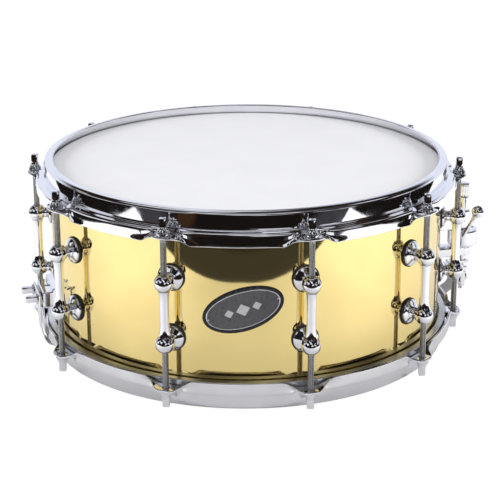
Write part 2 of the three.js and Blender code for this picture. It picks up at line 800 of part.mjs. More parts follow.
addPart("strainer_base", strainerBase(), chrome(), STRAINER_ANGLE);
addPart("strainer_cam", strainerCam(), chrome(), STRAINER_ANGLE);
addPart("strainer_lever", strainerLever(), chrome(), STRAINER_ANGLE);
addPart("strainer_slider", strainerSlider(), chrome(), STRAINER_ANGLE);
addPart("strainer_tension_knob", strainerKnob(), chrome(), STRAINER_ANGLE);
addPart("strainer_clamp_block", strainerClampBlock(), chrome(), STRAINER_ANGLE);
addPart("strainer_clamp_plate", strainerClampPlate(), chrome(), STRAINER_ANGLE);
addPart("butt_base", buttBase(), chrome(), BUTT_ANGLE);
addPart("butt_clamp_plate", buttClampPlate(), chrome(), BUTT_ANGLE);

[-1, 1].forEach((side, i) => {
  const number = i + 1;
  addPart(
    `strainer_clamp_screw_${number}`,
    strainerClampScrew(side * CLAMP_SCREW_OFFSET),
    chrome(),
    STRAINER_ANGLE,
  );
  addPart(`butt_clamp_screw_${number}`, buttClampScrew(side * BUTT_SCREW_OFFSET), chrome(), BUTT_ANGLE);
  addPart(
    `strainer_mount_screw_${number}`,
    mountScrew(STRAINER_SCREW_HEIGHTS[i]),
    chrome(),
    STRAINER_ANGLE,
  );
  addPart(`butt_mount_screw_${number}`, mountScrew(BUTT_SCREW_HEIGHTS[i]), chrome(), BUTT_ANGLE);
});

addPart("snare_wires", snareWires(), springSteel(), STRAINER_ANGLE);
addPart("snare_strap_strainer", strainerStrap(), strapPlastic(), STRAINER_ANGLE);
addPart("snare_strap_butt", buttStrap(), strapPlastic(), BUTT_ANGLE);

export default drum;
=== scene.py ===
import json
import math

import bmesh
import bpy
import numpy as np
from mathutils import Matrix, Vector


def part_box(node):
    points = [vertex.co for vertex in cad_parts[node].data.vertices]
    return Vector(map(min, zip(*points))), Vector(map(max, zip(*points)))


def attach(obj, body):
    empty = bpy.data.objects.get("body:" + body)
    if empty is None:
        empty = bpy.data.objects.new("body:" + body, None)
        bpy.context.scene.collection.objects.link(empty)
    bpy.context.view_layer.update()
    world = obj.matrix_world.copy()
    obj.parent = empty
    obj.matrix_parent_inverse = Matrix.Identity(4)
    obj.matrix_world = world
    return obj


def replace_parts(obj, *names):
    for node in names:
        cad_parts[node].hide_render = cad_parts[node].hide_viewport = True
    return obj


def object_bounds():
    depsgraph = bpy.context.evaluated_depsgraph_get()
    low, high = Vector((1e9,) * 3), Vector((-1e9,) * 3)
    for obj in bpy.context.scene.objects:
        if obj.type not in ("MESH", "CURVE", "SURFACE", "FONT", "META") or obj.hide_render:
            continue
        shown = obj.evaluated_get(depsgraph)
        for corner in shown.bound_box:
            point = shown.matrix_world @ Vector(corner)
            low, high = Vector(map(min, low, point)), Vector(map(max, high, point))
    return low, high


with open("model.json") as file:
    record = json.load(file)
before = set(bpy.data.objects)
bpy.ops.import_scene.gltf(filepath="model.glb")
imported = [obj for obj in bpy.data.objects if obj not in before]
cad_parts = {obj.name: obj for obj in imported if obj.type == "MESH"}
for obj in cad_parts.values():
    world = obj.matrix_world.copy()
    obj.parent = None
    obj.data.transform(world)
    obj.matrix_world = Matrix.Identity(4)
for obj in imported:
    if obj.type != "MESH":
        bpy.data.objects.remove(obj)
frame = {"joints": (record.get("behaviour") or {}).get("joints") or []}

MM = 0.001
CAD_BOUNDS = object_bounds()


# ---- sizes and places read from the frame


def box_mm(node):
    low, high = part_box(node)
    return low / MM, high / MM


def joint_point(name):
    return Vector(next(j for j in frame["joints"] if j["name"] == name)["pos_m"]) / MM


def angle_round(point):
    return math.degrees(math.atan2(point.x, -point.y))


shell_low, shell_high = box_mm("shell")
MIDDLE = (shell_low.z + shell_high.z) / 2
SHELL_RADIUS = shell_high.x
SHELL_WALL = 1.2
EDGE = (shell_high.z - shell_low.z) / 2  # height of the bearing edge

hoop_low, hoop_high = box_mm("top_hoop")
RIM = hoop_high.z - MIDDLE
LIP_FOOT = hoop_low.z - MIDDLE
EAR_REACH = hoop_high.x
STEEL = 2.3
WALL_RADIUS = 181.3
LIP_RADIUS = 189.3
FLANGE_RADIUS = 173.4
STEP = RIM - 15.5  # the hoop's shelf, below its wall
EAR_TOP = RIM - 18.5

film_low, film_high = box_mm("batter_head_film")
FILM_TOP = film_high.z - MIDDLE
FILM_FOOT = film_low.z - MIDDLE
FILM_RADIUS = film_high.x
FILM_THICKNESS = 0.5

flesh_low, flesh_high = box_mm("batter_flesh_hoop")
FLESH_RADIUS = flesh_high.x
FLESH_TOP = flesh_high.z - MIDDLE
FLESH_FOOT = flesh_low.z - MIDDLE

LUG_COUNT = 10
LUG_ANGLES = [angle_round(joint_point(f"top_rod_{i + 1:02d}_turn")) for i in range(LUG_COUNT)]
LUG_SPACING = 360 / LUG_COUNT
ROD_CIRCLE = joint_point("top_rod_01_turn").xy.length
POST_HEIGHT = 26.35
BALL_RADIUS = 8.2
LUG_FOOT = SHELL_RADIUS + 1.3
rod_low, rod_high = box_mm("top_rod_01")
ROD_TIP = rod_low.z - MIDDLE
ROD_TOP = rod_high.z - MIDDLE
ROD_RADIUS = 2.75
ROD_SEAT = EAR_TOP + 2.2  # the underside of the rod's flange, on its washer
THREAD_PITCH = 1.058
KEY_SQUARE = 6.0

STRAINER_ANGLE = angle_round(joint_point("throw_lever"))
SPINDLE_AT = joint_point("throw_lever").xy.length
BUTT_ANGLE = STRAINER_ANGLE - 180

# ---- outlines


def fillet(points, steps=4):
    """Rounds the corners of a closed outline of (x, z, radius) points. Radius 0 keeps a corner sharp."""
    rounded = []
    count = len(points)
    for i, (x, z, radius) in enumerate(points):
        here = np.array((x, z), float)
        before = np.array(points[i - 1][:2], float) - here
        after = np.array(points[(i + 1) % count][:2], float) - here
        reach_before = min(radius, 0.48 * np.linalg.norm(before))
        reach_after = min(radius, 0.48 * np.linalg.norm(after))
        if radius == 0 or min(reach_before, reach_after) < 1e-6:
            rounded.append(tuple(here))
            continue
        start = here + before / np.linalg.norm(before) * reach_before
        end = here + after / np.linalg.norm(after) * reach_after
        for t in np.linspace(0, 1, steps + 1):
            rounded.append(tuple((1 - t) ** 2 * start + 2 * t * (1 - t) * here + t * t * end))
    return rounded


def arc(centre, radius, first, last, steps):
    """Points on a circle, from one angle to another, in degrees."""
    angles = np.radians(np.linspace(first, last, steps + 1))
    return [(centre[0] + radius * math.cos(a), centre[1] + radius * math.sin(a)) for a in angles]


def smoothstep(value, low, high):
    t = np.clip((value - low) / (high - low), 0, 1)
    return t * t * (3 - 2 * t)


# ---- surfaces


def skin(rings, closed=False, ends=None):
    """Vertices and faces through rings of points. The last ring joins the first, or both ends are capped."""
    rings = np.asarray(rings, float)
    count, around = rings.shape[:2]
    vertices = rings.reshape(-1, 3).tolist()
    faces = []
    for i in range(count if closed else count - 1):
        a, b = i * around, (i + 1) % count * around
        for j in range(around):
            k = (j + 1) % around
            faces.append((a + j, a + k, b + k, b + j))
    if not closed:
        caps = ends or (rings[0].mean(0), rings[-1].mean(0))
        for first, centre in ((0, caps[0]), ((count - 1) * around, caps[1])):
            vertices.append(list(centre))
            middle = len(vertices) - 1
            for j in range(around):
                faces.append((first + j, first + (j + 1) % around, middle))
    return vertices, faces


def full_turn(count):
    return np.linspace(0, 2 * math.pi, count, endpoint=False)


def ring_at(height, radius, angles):
    """A ring of points about Z. Its radius may be one number, or one for each angle."""
    return np.stack([radius * np.cos(angles), radius * np.sin(angles), np.full(len(angles), height)], 1)


def revolve(profile, segments=48):
    """Turns a (radius, height) profile about Z. It starts and ends on the axis, or closes on itself."""
    angles = full_turn(segments)
    on_axis = profile[0][0] == 0
    points = profile[1:-1] if on_axis else profile
    rings = [ring_at(z, r, angles) for r, z in points]
    if not on_axis:
        return skin(rings, closed=True)
    return skin(rings, ends=((0, 0, profile[0][1]), (0, 0, profile[-1][1])))


def solid_pin(radius, low, high, segments=32, edge=0.4):
    profile = fillet([(0, low, 0), (radius, low, edge), (radius, high, edge), (0, high, 0)], 3)
    return revolve(profile, segments)


def stack(levels, around):
    """Rings at (height, half width, power) levels: circles at power 2, or without one, and then squarer."""
    angles = full_turn(around)
    rings = []
    for height, half, *given in levels:
        power = given[0] if given else 2.0
        spread = np.abs(np.cos(angles)) ** power + np.abs(np.sin(angles)) ** power
        rings.append(ring_at(height, half / spread ** (1 / power), angles))
    return rings


def threaded(root, crest, low, high, around, rings_per_turn=4, pitch=THREAD_PITCH):
    """Rings of a right-hand screw thread from one height to another."""
    angles = full_turn(around)
    rings = []
    for z in np.arange(low, high, pitch / rings_per_turn):
        phase = (z / pitch - angles / (2 * math.pi)) % 1
        rings.append(ring_at(z, root + (crest - root) * (1 - np.abs(2 * phase - 1)), angles))
    return rings


def directions(line):
    """The unit direction of a line of points at each of them."""
    along = np.gradient(line, axis=0)
    return along / np.linalg.norm(along, axis=1)[:, None]


def moved(shape, matrix):
    vertices, faces = shape
    return [tuple(matrix @ Vector(v)) for v in vertices], faces


def out(shape, offset=0.0, height=0.0):
    """Lays a turned shape along the line that runs out of the drum at an offset round it and a height."""
    return moved(shape, Matrix.Translation((0, offset, height)) @ Matrix.Rotation(math.pi / 2, 4, "Y"))


def set_out(shape, distance):
    """Moves an upright shape straight out from the drum's axis."""
    return moved(shape, Matrix.Translation((distance, 0, 0)))


def at_spindle(shape):
    return set_out(shape, SPINDLE_AT)


def turn_to(angle):
    """The turn about the drum's axis that takes +X to an angle round the drum."""
    return Matrix.Rotation(math.radians(angle - 90), 4, "Z")


def bore_out(radius, start, end, offset=0.0, height=0.0, segments=24):
    """A drill that runs out of the drum, from one distance to another."""
    return out(solid_pin(radius, start, end, segments, 0), offset, height)


def merged(*shapes):
    vertices, faces = [], []
    for shape_vertices, shape_faces in shapes:
        start = len(vertices)
        vertices += shape_vertices
        faces += [tuple(start + i for i in face) for face in shape_faces]
    return vertices, faces


def bevelled(vertices, faces, width, segments=3, angle=30):
    """The shape with every edge that is sharper than the angle rounded off."""
    bm = bmesh.new()
    made = [bm.verts.new(v) for v in vertices]
    for face in faces:
        bm.faces.new([made[i] for i in face])
    bmesh.ops.recalc_face_normals(bm, faces=bm.faces)
    edges = [e for e in bm.edges if e.calc_face_angle(0) > math.radians(angle)]
    how = {"offset": width, "segments": segments, "profile": 0.5, "affect": "EDGES", "clamp_overlap": True}
    bmesh.ops.bevel(bm, geom=edges, **how)
    bm.verts.index_update()
    result = [tuple(v.co) for v in bm.verts], [tuple(v.index for v in f.verts) for f in bm.faces]
    bm.free()
    return result


def prism(outline, low, high, edge=0.6):
    """An outline of (x, y) points raised from one height to another, with rounded edges."""
    count = len(outline)
    vertices = [(x, y, z) for z in (low, high) for x, y in outline]
    faces = [tuple(range(count))[::-1], tuple(range(count, 2 * count))]
    faces += [(i, (i + 1) % count, count + (i + 1) % count, count + i) for i in range(count)]
    return bevelled(vertices, faces, edge)


def rectangle(x, y):
    return [(x[0], y[0]), (x[1], y[0]), (x[1], y[1]), (x[0], y[1])]


def rounded_box(x, y, z, edge=0.6):
    return prism(rectangle(x, y), z[0], z[1], edge)


def shell_foot(front, half_width, low, high):
    """A foot that hugs the shell on its inside and is flat in front."""
    radius = SHELL_RADIUS + 0.3
    half_angle = math.degrees(math.asin(half_width / radius))
    outline = arc((0, 0), radius, half_angle, -half_angle, 16)
    outline += [(front - 1.5, -half_width), (front, -half_width + 3)]
    outline += [(front, half_width - 3), (front - 1.5, half_width)]
    return prism(outline, low, high, 0.9)


# ---- meshes and pieces


def add_object(name, data):
    obj = bpy.data.objects.new(name, data)
    bpy.context.scene.collection.objects.link(obj)
    return obj


def shade(mesh, sharp_angle):
    mesh.shade_smooth()
    mesh.set_sharp_from_angle(angle=math.radians(sharp_angle))
    return mesh


def make_mesh(name, shape, sharp_angle=40):
    vertices, faces = shape
    mesh = bpy.data.meshes.new(name)
    mesh.from_pydata((np.asarray(vertices, float) * MM).tolist(), [], faces)
    bm = bmesh.new()
    bm.from_mesh(mesh)
    bmesh.ops.recalc_face_normals(bm, faces=bm.faces)
    bm.to_mesh(mesh)
    bm.free()
    return shade(mesh, sharp_angle)


def combined(name, base, joined=(), cut=(), sharp_angle=40):
    """One closed mesh: the base shape with others joined to it and others cut out of it."""
    body = add_object(name, make_mesh(name, base))
    helpers = []
    for operation, shapes in (("UNION", joined), ("DIFFERENCE", cut)):
        for shape in shapes:
            helpers.append(add_object("helper", make_mesh("helper", shape)))
            modifier = body.modifiers.new(operation, "BOOLEAN")
            modifier.operation = operation
            modifier.solver = "EXACT"
            modifier.object = helpers[-1]
    bpy.context.view_layer.update()
    evaluated = body.evaluated_get(bpy.context.evaluated_depsgraph_get())
    result = bpy.data.meshes.new_from_object(evaluated)
    for obj in (body, *helpers):
        bpy.data.objects.remove(obj)
    result.name = name
    return shade(result, sharp_angle)


def placed(angle, flipped=False):
    """The matrix that takes a piece from the frame it is drawn in to its place on the drum."""
    flip = Matrix.Rotation(math.pi if flipped else 0, 4, "X")
    return Matrix.Translation((0, 0, MIDDLE * MM)) @ turn_to(angle) @ flip


def add_piece(name, mesh, material, body, angle=90.0, flipped=False, move=(0, 0, 0), spin=0.0, weighted=True):
    """Puts a copy of a mesh on the drum, riding on a body."""
    mesh = mesh.copy()
    mesh.name = name
    turn = Matrix.Rotation(math.radians(spin), 4, "Z")
    mesh.transform(placed(angle, flipped) @ Matrix.Translation(Vector(move) * MM) @ turn)
    if not mesh.materials:
        mesh.materials.append(material)
    piece = add_object(name, mesh)
    if weighted:
        modifier = piece.modifiers.new("even shading", "WEIGHTED_NORMAL")
        modifier.keep_sharp = True
    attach(piece, body)
    return piece


def add_finished(node, mesh, material, body, *place, **more):
    """Puts a piece on the drum that stands for a node of the CAD."""
    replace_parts(add_piece(f"{node}_finished", mesh, material, body, *place, **more), node)


# ---- materials


class Nodes:
    """A node tree under construction, with short calls to add and link its nodes."""

    def __init__(self, tree, coordinates):
        self.tree = tree
        self.place = self.add("ShaderNodeTexCoord").outputs[coordinates]

    def add(self, kind, **values):
        node = self.tree.nodes.new(kind)
        for key, value in values.items():
            if hasattr(node, key):
                setattr(node, key, value)
            else:
                node.inputs[key.replace("_", " ")].default_value = value
        return node

    def put(self, value, socket):
        """Links a source to a socket, or sets the socket to a number or a colour."""
        if isinstance(value, bpy.types.NodeSocket):
            self.tree.links.new(value, socket)
        else:
            socket.default_value = (*value, 1) if isinstance(value, tuple) else value

    def place_parts(self):
        """The X, Y and Z of the place."""
        split = self.add("ShaderNodeSeparateXYZ")
        self.put(self.place, split.inputs[0])
        return split.outputs

    def light_path(self, kind):
        return self.add("ShaderNodeLightPath").outputs[kind]

    def noise(self, scale, detail=3.0, stretch=None):
        """Noise with features per metre, stretched along the axes if a stretch is given."""
        noise = self.add("ShaderNodeTexNoise", Scale=scale, Detail=detail)
        source = self.place
        if stretch:
            mapping = self.add("ShaderNodeMapping", Scale=stretch)
            self.put(source, mapping.inputs["Vector"])
            source = mapping.outputs["Vector"]
        self.put(source, noise.inputs["Vector"])
        return noise.outputs["Fac"]

    def ramp(self, source, low, high, start=0.3, end=0.7, shape="LINEAR"):
        """Maps a source that runs from start to end onto numbers between low and high."""
        limits = {"From_Min": start, "From_Max": end, "To_Min": low, "To_Max": high}
        ramp = self.add("ShaderNodeMapRange", interpolation_type=shape, **limits)
        self.put(source, ramp.inputs["Value"])
        return ramp.outputs["Result"]

    def soft_step(self, source, start, end):
        return self.ramp(source, 0, 1, start, end, "SMOOTHSTEP")

    def maths(self, operation, *values):
        node = self.add("ShaderNodeMath", operation=operation)
        for value, socket in zip(values, node.inputs):
            self.put(value, socket)
        return node.outputs[0]

    def blend(self, factor, first, second, blend_type="MIX"):
        """A colour between two others."""
        mix = self.add("ShaderNodeMix", data_type="RGBA", blend_type=blend_type)
        # a mix node's colours go into sockets 6 and 7 and come out of socket 2
        for value, socket in ((factor, 0), (first, 6), (second, 7)):
            self.put(value, mix.inputs[socket])
        return mix.outputs[2]


class Shader(Nodes):
    """A material under construction, around its main surface."""

    def __init__(self, name, slot):
        self.material = bpy.data.materials.new(name)
        self.material.use_nodes = True
        self.material["slot"] = slot
        super().__init__(self.material.node_tree, "Object")
        self.surface = self.tree.nodes["Principled BSDF"]

    def set(self, **values):
        for key, value in values.items():
            self.put(value, self.surface.inputs[key.replace("_", " ")])


def mottled(name, slot, colours, roughness, relief, tone, gloss=None, grain=None, alpha=None, **surface):
    """A material whose colour, gloss and relief vary with noises of (scale, detail, stretch).

    The gloss follows the tone's noise, and the relief's grain follows the gloss, unless they are given.
    """
    shader = Shader(name, slot)
    shader.set(**surface)
    tone = shader.noise(*tone)
    gloss = shader.noise(*gloss) if gloss else tone
    grain = shader.noise(*grain) if grain else gloss
    shader.set(Base_Color=shader.blend(shader.ramp(tone, 0, 1), *colours))
    shader.set(Roughness=shader.ramp(gloss, *roughness))
    if alpha:
        shader.set(Alpha=shader.ramp(tone, *alpha))
    strength, distance = relief
    bump = shader.add("ShaderNodeBump", Strength=strength, Distance=distance)
    shader.put(grain, bump.inputs["Height"])
    shader.set(Normal=bump.outputs["Normal"])
    return shader.material


def polished_metal(name, slot, *colours, roughness=(0.02, 0.07), grain=2500, waviness=0.01):
    """Plated or polished metal: a mirror with faint smears in colour and gloss, and a trace of waviness."""
    noises = {"tone": (38, 4), "gloss": (90, 5), "grain": (grain, 2)}
    return mottled(name, slot, colours, roughness, (waviness, 0.00002), **noises, Metallic=1.0)


def enamel(name, *colours, roughness):
    """Fired enamel with a slightly uneven tone."""
    noises = {"tone": (350, 4), "grain": (2200, 2)}
    coat = {"Coat_Weight": 0.1, "Coat_Roughness": 0.08, "Specular_IOR_Level": 0.3}
    return mottled(name, "badge_enamel", colours, roughness, (0.015, 0.00003), **noises, **coat)


CHROME = polished_metal("chrome", "chrome", (0.90, 0.90, 0.93), (0.84, 0.84, 0.88))
HARDWARE = polished_metal(
    "plated_hardware", "chrome", (0.84, 0.84, 0.87), (0.70, 0.70, 0.74), roughness=(0.05, 0.14)
)
THREAD_STEEL = polished_metal(
    "thread_steel", "chrome", (0.60, 0.60, 0.61), (0.45, 0.45, 0.46), roughness=(0.16, 0.28)
)
WIRE_STEEL = polished_metal(
    "drawn_steel_wire", "snare_steel", (0.72, 0.72, 0.73), (0.55, 0.55, 0.57),
    roughness=(0.14, 0.28), grain=4000, waviness=0.05
)
SILVER_LINE = polished_metal(
    "badge_silver", "badge_enamel", (0.80, 0.80, 0.82), (0.62, 0.62, 0.65), roughness=(0.12, 0.25)
)
BLACK_ENAMEL = enamel("black_enamel", (0.010, 0.010, 0.011), (0.02, 0.02, 0.022), roughness=(0.18, 0.3))
GREY_ENAMEL = enamel("grey_enamel", (0.085, 0.085, 0.088), (0.11, 0.11, 0.114), roughness=(0.25, 0.4))
BADGE_WHITE = enamel("white_enamel", (0.50, 0.50, 0.50), (0.60, 0.60, 0.60), roughness=(0.25, 0.4))
# lacquered brass, buffed round the drum, with faint rings left by the buff
BRASS = mottled(
    "polished_brass", "shell_brass", ((0.94, 0.755, 0.32), (0.90, 0.71, 0.295)), (0.02, 0.055),
    relief=(0.012, 0.00004), tone=(9, 4, (1, 1, 2.5)), gloss=(6, 3, (1, 1, 260)),
    Metallic=1.0, Coat_Weight=0.08, Coat_Roughness=0.02
)
# white sprayed coating: a fine even grain, with a slightly greyer mottle and a soft sheen
COATED = mottled(
    "coated_film", "head_coated", ((0.82, 0.82, 0.842), (0.79, 0.79, 0.815)), (0.5, 0.75),
    relief=(0.35, 0.00006), tone=(24, 5), gloss=(3800, 2), IOR=1.45
)
# thin hazy film, seen through, with faint cloudiness
CLEAR = mottled(
    "clear_film", "head_clear", ((0.86, 0.88, 0.89), (0.80, 0.82, 0.84)), (0.12, 0.3), alpha=(0.5, 0.62),
    relief=(0.05, 0.00003), tone=(18, 4), grain=(700, 2), IOR=1.5, Transmission_Weight=0.35
)
# extruded aluminium with fine lines round the drum
ALUMINIUM = mottled(
    "satin_aluminium", "flesh_hoop_aluminium", ((0.80, 0.81, 0.82), (0.66, 0.67, 0.69)), (0.22, 0.4),
    relief=(0.05, 0.00004), tone=(14, 3, (1, 1, 90)), Metallic=1.0
)
# moulded rubber with a fine grain
RUBBER = mottled(
    "black_rubber", "gasket_rubber", ((0.012, 0.012, 0.014), (0.03, 0.03, 0.034)), (0.38, 0.6),
    relief=(0.2, 0.00005), tone=(1600, 3)
)
# milky clear plastic tape with fine lines along its length
STRAP = mottled(
    "strap_plastic", "strap_plastic", ((0.84, 0.85, 0.87), (0.72, 0.74, 0.77)), (0.2, 0.35),
    relief=(0.08, 0.00005), tone=(30, 3, (1, 40, 1)), alpha=(0.8, 0.95), IOR=1.5, Transmission_Weight=0.25
)

# ---- shell, vent and badge

VENT_RADIUS = 6.2
SCREW_HOLE = 2.6
STRAINER_SCREWS = (-3, -31)
BUTT_SCREWS = (-25, -37)


def shell_mesh():
    """A tube whose edges are turned in over the bearing edges, drilled for its screws and its vent."""
    inside = SHELL_RADIUS - SHELL_WALL
    lip, lip_drop = SHELL_RADIUS - 7, 3.8
    half = [
        (SHELL_RADIUS, EDGE, 3.4),
        (SHELL_RADIUS - 3.0, EDGE, 2.2),
        (lip, EDGE - lip_drop, 0.5),
        (lip + 0.3, EDGE - lip_drop - SHELL_WALL, 0.5),
        (SHELL_RADIUS - 3.4, EDGE - SHELL_WALL - 0.2, 1.6),
        (inside, EDGE - SHELL_WALL - 1.0, 2.4),
    ]
    lower = [(r, -z, corner) for r, z, corner in reversed(half)]
    body = revolve(fillet(half + lower, 5), 360)
    holes = [(angle, side * POST_HEIGHT, SCREW_HOLE) for angle in LUG_ANGLES for side in (-1, 1)]
    holes += [(STRAINER_ANGLE, height, SCREW_HOLE) for height in STRAINER_SCREWS]
    holes += [(BUTT_ANGLE, height, SCREW_HOLE) for height in BUTT_SCREWS]
    holes.append((180, 0, VENT_RADIUS + 0.1))
    drills = []
    for angle, height, radius in holes:
        drills.append(moved(bore_out(radius, inside - 3, SHELL_RADIUS + 3, 0, height), turn_to(angle)))
    mesh = combined("shell", body, cut=[merged(*drills)])
    give_wall_its_true_normals(mesh, inside)
    return mesh


def give_wall_its_true_normals(mesh, inside):
    """Gives the drilled wall the exact normals of a cylinder, so that it mirrors cleanly round its holes."""
    normals = [Vector(corner.vector) for corner in mesh.corner_normals]
    for face in mesh.polygons:
        radius = face.center.xy.length / MM
        faces_out = face.normal.xy.dot(face.center.xy) > 0
        flat = abs(face.normal.z) < 0.02 and abs(face.center.z) / MM < EDGE - 4
        on_outside = faces_out and radius > SHELL_RADIUS - 0.3
        on_inside = not faces_out and radius < inside + 0.3
        if not (flat and (on_outside or on_inside)):
            continue
        for loop in face.loop_indices:
            co = mesh.vertices[mesh.loops[loop].vertex_index].co
            straight_out = Vector((co.x, co.y, 0)).normalized()
            normals[loop] = straight_out if faces_out else -straight_out
    mesh.normals_split_custom_set(normals)


def vent_mesh():
    """An eyelet whose outer flange is rounded and whose inner end is rolled over."""
    bore = VENT_RADIUS - 1.6
    inside = SHELL_RADIUS - SHELL_WALL
    profile = [
        (bore, inside - 1.2, 0.5),
        (VENT_RADIUS + 1.8, inside - 1.2, 0.5),
        (VENT_RADIUS + 1.8, inside - 0.2, 0.4),
        (VENT_RADIUS, inside - 0.2, 0),
        (VENT_RADIUS, SHELL_RADIUS + 0.2, 0),
        (VENT_RADIUS + 2.6, SHELL_RADIUS + 0.2, 0.3),
        (VENT_RADIUS + 2.2, SHELL_RADIUS + 1.7, 1.2),
        (bore, SHELL_RADIUS + 1.7, 1.4),
    ]
    return make_mesh("vent_grommet", out(revolve(fillet(profile))))


BADGE_HALF_LENGTH = 34.7
BADGE_HALF_HEIGHT = 18.5
BADGE_TILT = math.radians(18.5)
BADGE_ANGLE = 1.3
BADGE_HEIGHT = 1.8
FIELD_RISE = 0.62  # how far the badge's field stands off the shell


def on_badge(along, across, rise):
    """A point of the badge: distances along and across its tilted oval, and its rise off the shell."""
    round_ = along * math.cos(BADGE_TILT) - across * math.sin(BADGE_TILT)
    height = along * math.sin(BADGE_TILT) + across * math.cos(BADGE_TILT)
    radius = SHELL_RADIUS + 0.05 + rise
    angle = round_ / SHELL_RADIUS
    return radius * math.cos(angle), radius * math.sin(angle), BADGE_HEIGHT + height


def badge_mesh():
    """An oval plate: a raised black border, a thin silver line, and a grey field."""
    border, line, field = 0, 1, 2
    # distance in from the edge, rise above the shell, and the material inside that ring
    profile = [(0.6, 0.0, border), (0.0, 0.15, border), (0.0, 0.5, border), (0.35, 0.78, border)]
    profile += [(1.0, 0.85, border), (2.6, 0.82, border), (3.0, 0.66, line), (3.2, 0.78, line)]
    profile += [(3.7, 0.78, line)] + [(inset, FIELD_RISE, field) for inset in (3.9, 8.0, 13.0)]
    around = 120
    angles = full_turn(around)

    def ring(inset, rise):
        half_length = BADGE_HALF_LENGTH - inset
        half_height = BADGE_HALF_HEIGHT - inset
        return [on_badge(half_length * math.cos(a), half_height * math.sin(a), rise) for a in angles]

    rings = [ring(inset, rise) for inset, rise, _ in profile]
    shape = skin(rings, ends=(on_badge(0, 0, 0.0), on_badge(0, 0, FIELD_RISE)))
    mesh = make_mesh("badge", shape, 50)
    for material in (BLACK_ENAMEL, SILVER_LINE, GREY_ENAMEL):
        mesh.materials.append(material)
    sides = (len(profile) - 1) * around
    for index, face in enumerate(mesh.polygons):
        if index < sides:
            face.material_index = profile[index // around][2]
        else:
            face.material_index = border if index < sides + around else field
    return mesh


def badge_lozenge_mesh(middle, half_length, half_height):
    """One raised lozenge of the badge's plain motif."""
    rings = []
    for share, rise in ((1.0, 0.45), (1.0, 0.78), (0.86, 0.9)):
        x, y = share * half_length, share * half_height
        corners = ((middle + x, 0), (middle, y), (middle - x, 0), (middle, -y))
        rings.append([on_badge(*corner, rise) for corner in corners])
    return make_mesh("badge_lozenge", skin(rings), 30)


def rivet_mesh(side):
    """A domed rivet head near one end of the badge."""
    radius = 1.1
    dome = revolve([(0, -0.5), (radius, -0.5)] + arc((0, 0.1), radius, 0, 90, 6)[:-1] + [(0, 0.9)], 20)
    x, y, z = on_badge(side * (BADGE_HALF_LENGTH - 4.8), 0, 0.55)
    turn = Matrix.Rotation(math.atan2(y, x), 4, "Z") @ Matrix.Rotation(math.pi / 2, 4, "Y")
    return make_mesh("badge_rivet", moved(dome, Matrix.Translation((x, y, z)) @ turn))


def add_shell():
    add_finished("shell", shell_mesh(), BRASS, "drum", weighted=False)
    add_finished("vent_grommet", vent_mesh(), CHROME, "drum", 180)
    add_finished("badge", badge_mesh(), BLACK_ENAMEL, "drum", BADGE_ANGLE)
    for side, name in ((-1, "left"), (1, "right")):
        add_piece(f"badge_rivet_{name}", rivet_mesh(side), HARDWARE, "drum", BADGE_ANGLE)
    for number, (middle, half_length) in enumerate(((-12, 4), (0, 6), (12, 4)), 1):
        lozenge = badge_lozenge_mesh(middle, half_length, 0.9 * half_length)
        add_piece(f"badge_lozenge_{number}", lozenge, BADGE_WHITE, "drum", BADGE_ANGLE)


# ---- heads


def film_mesh():
    """A thin sheet with a round edge and a collar that hangs down outside the shell."""
    inner = FILM_RADIUS - FILM_THICKNESS
    under = FILM_TOP - FILM_THICKNESS
    outline = [
        (inner, under, 1.2),
        (inner, FILM_FOOT, 0),
        (FILM_RADIUS, FILM_FOOT, 0),
        (FILM_RADIUS, FILM_TOP, 1.7),
        (1, FILM_TOP, 0),
        (1, under, 0),
    ]
    # the last two points only shape the fillets: the profile itself starts and ends on the axis
    profile = [(0, under)] + fillet(outline, 6)[:-2] + [(0, FILM_TOP)]
    return make_mesh("head_film", revolve(profile, 256), 60)


def flesh_hoop_mesh():
    """The ring that the film's collar is gripped in."""
    inner = FILM_RADIUS + 0.5
    outline = [
        (inner, FLESH_FOOT, 0.5),
        (FLESH_RADIUS, FLESH_FOOT, 0.9),
        (FLESH_RADIUS, FLESH_TOP - 2.2, 1.0),
        (FLESH_RADIUS - 2.2, FLESH_TOP, 0.8),
        (inner, FLESH_TOP, 0.6),
    ]
    return make_mesh("flesh_hoop", revolve(fillet(outline, 4), 256))


def add_heads():
    for side, hoop, film_material in (("batter", "top_hoop", COATED), ("snare", "bottom_hoop", CLEAR)):
        lower = side == "snare"
        add_finished(f"{side}_head_film", film_mesh(), film_material, "drum", flipped=lower)
        add_finished(f"{side}_flesh_hoop", flesh_hoop_mesh(), ALUMINIUM, hoop, flipped=lower)


# ---- hoops

GATE_HALF_WIDTH = 24
EAR_HOLE = 3.45
CROWN_RADIUS = 174.5  # the highest ring of the turned-in flange, which falls away towards the wall
CROWN_DROP = 2.8


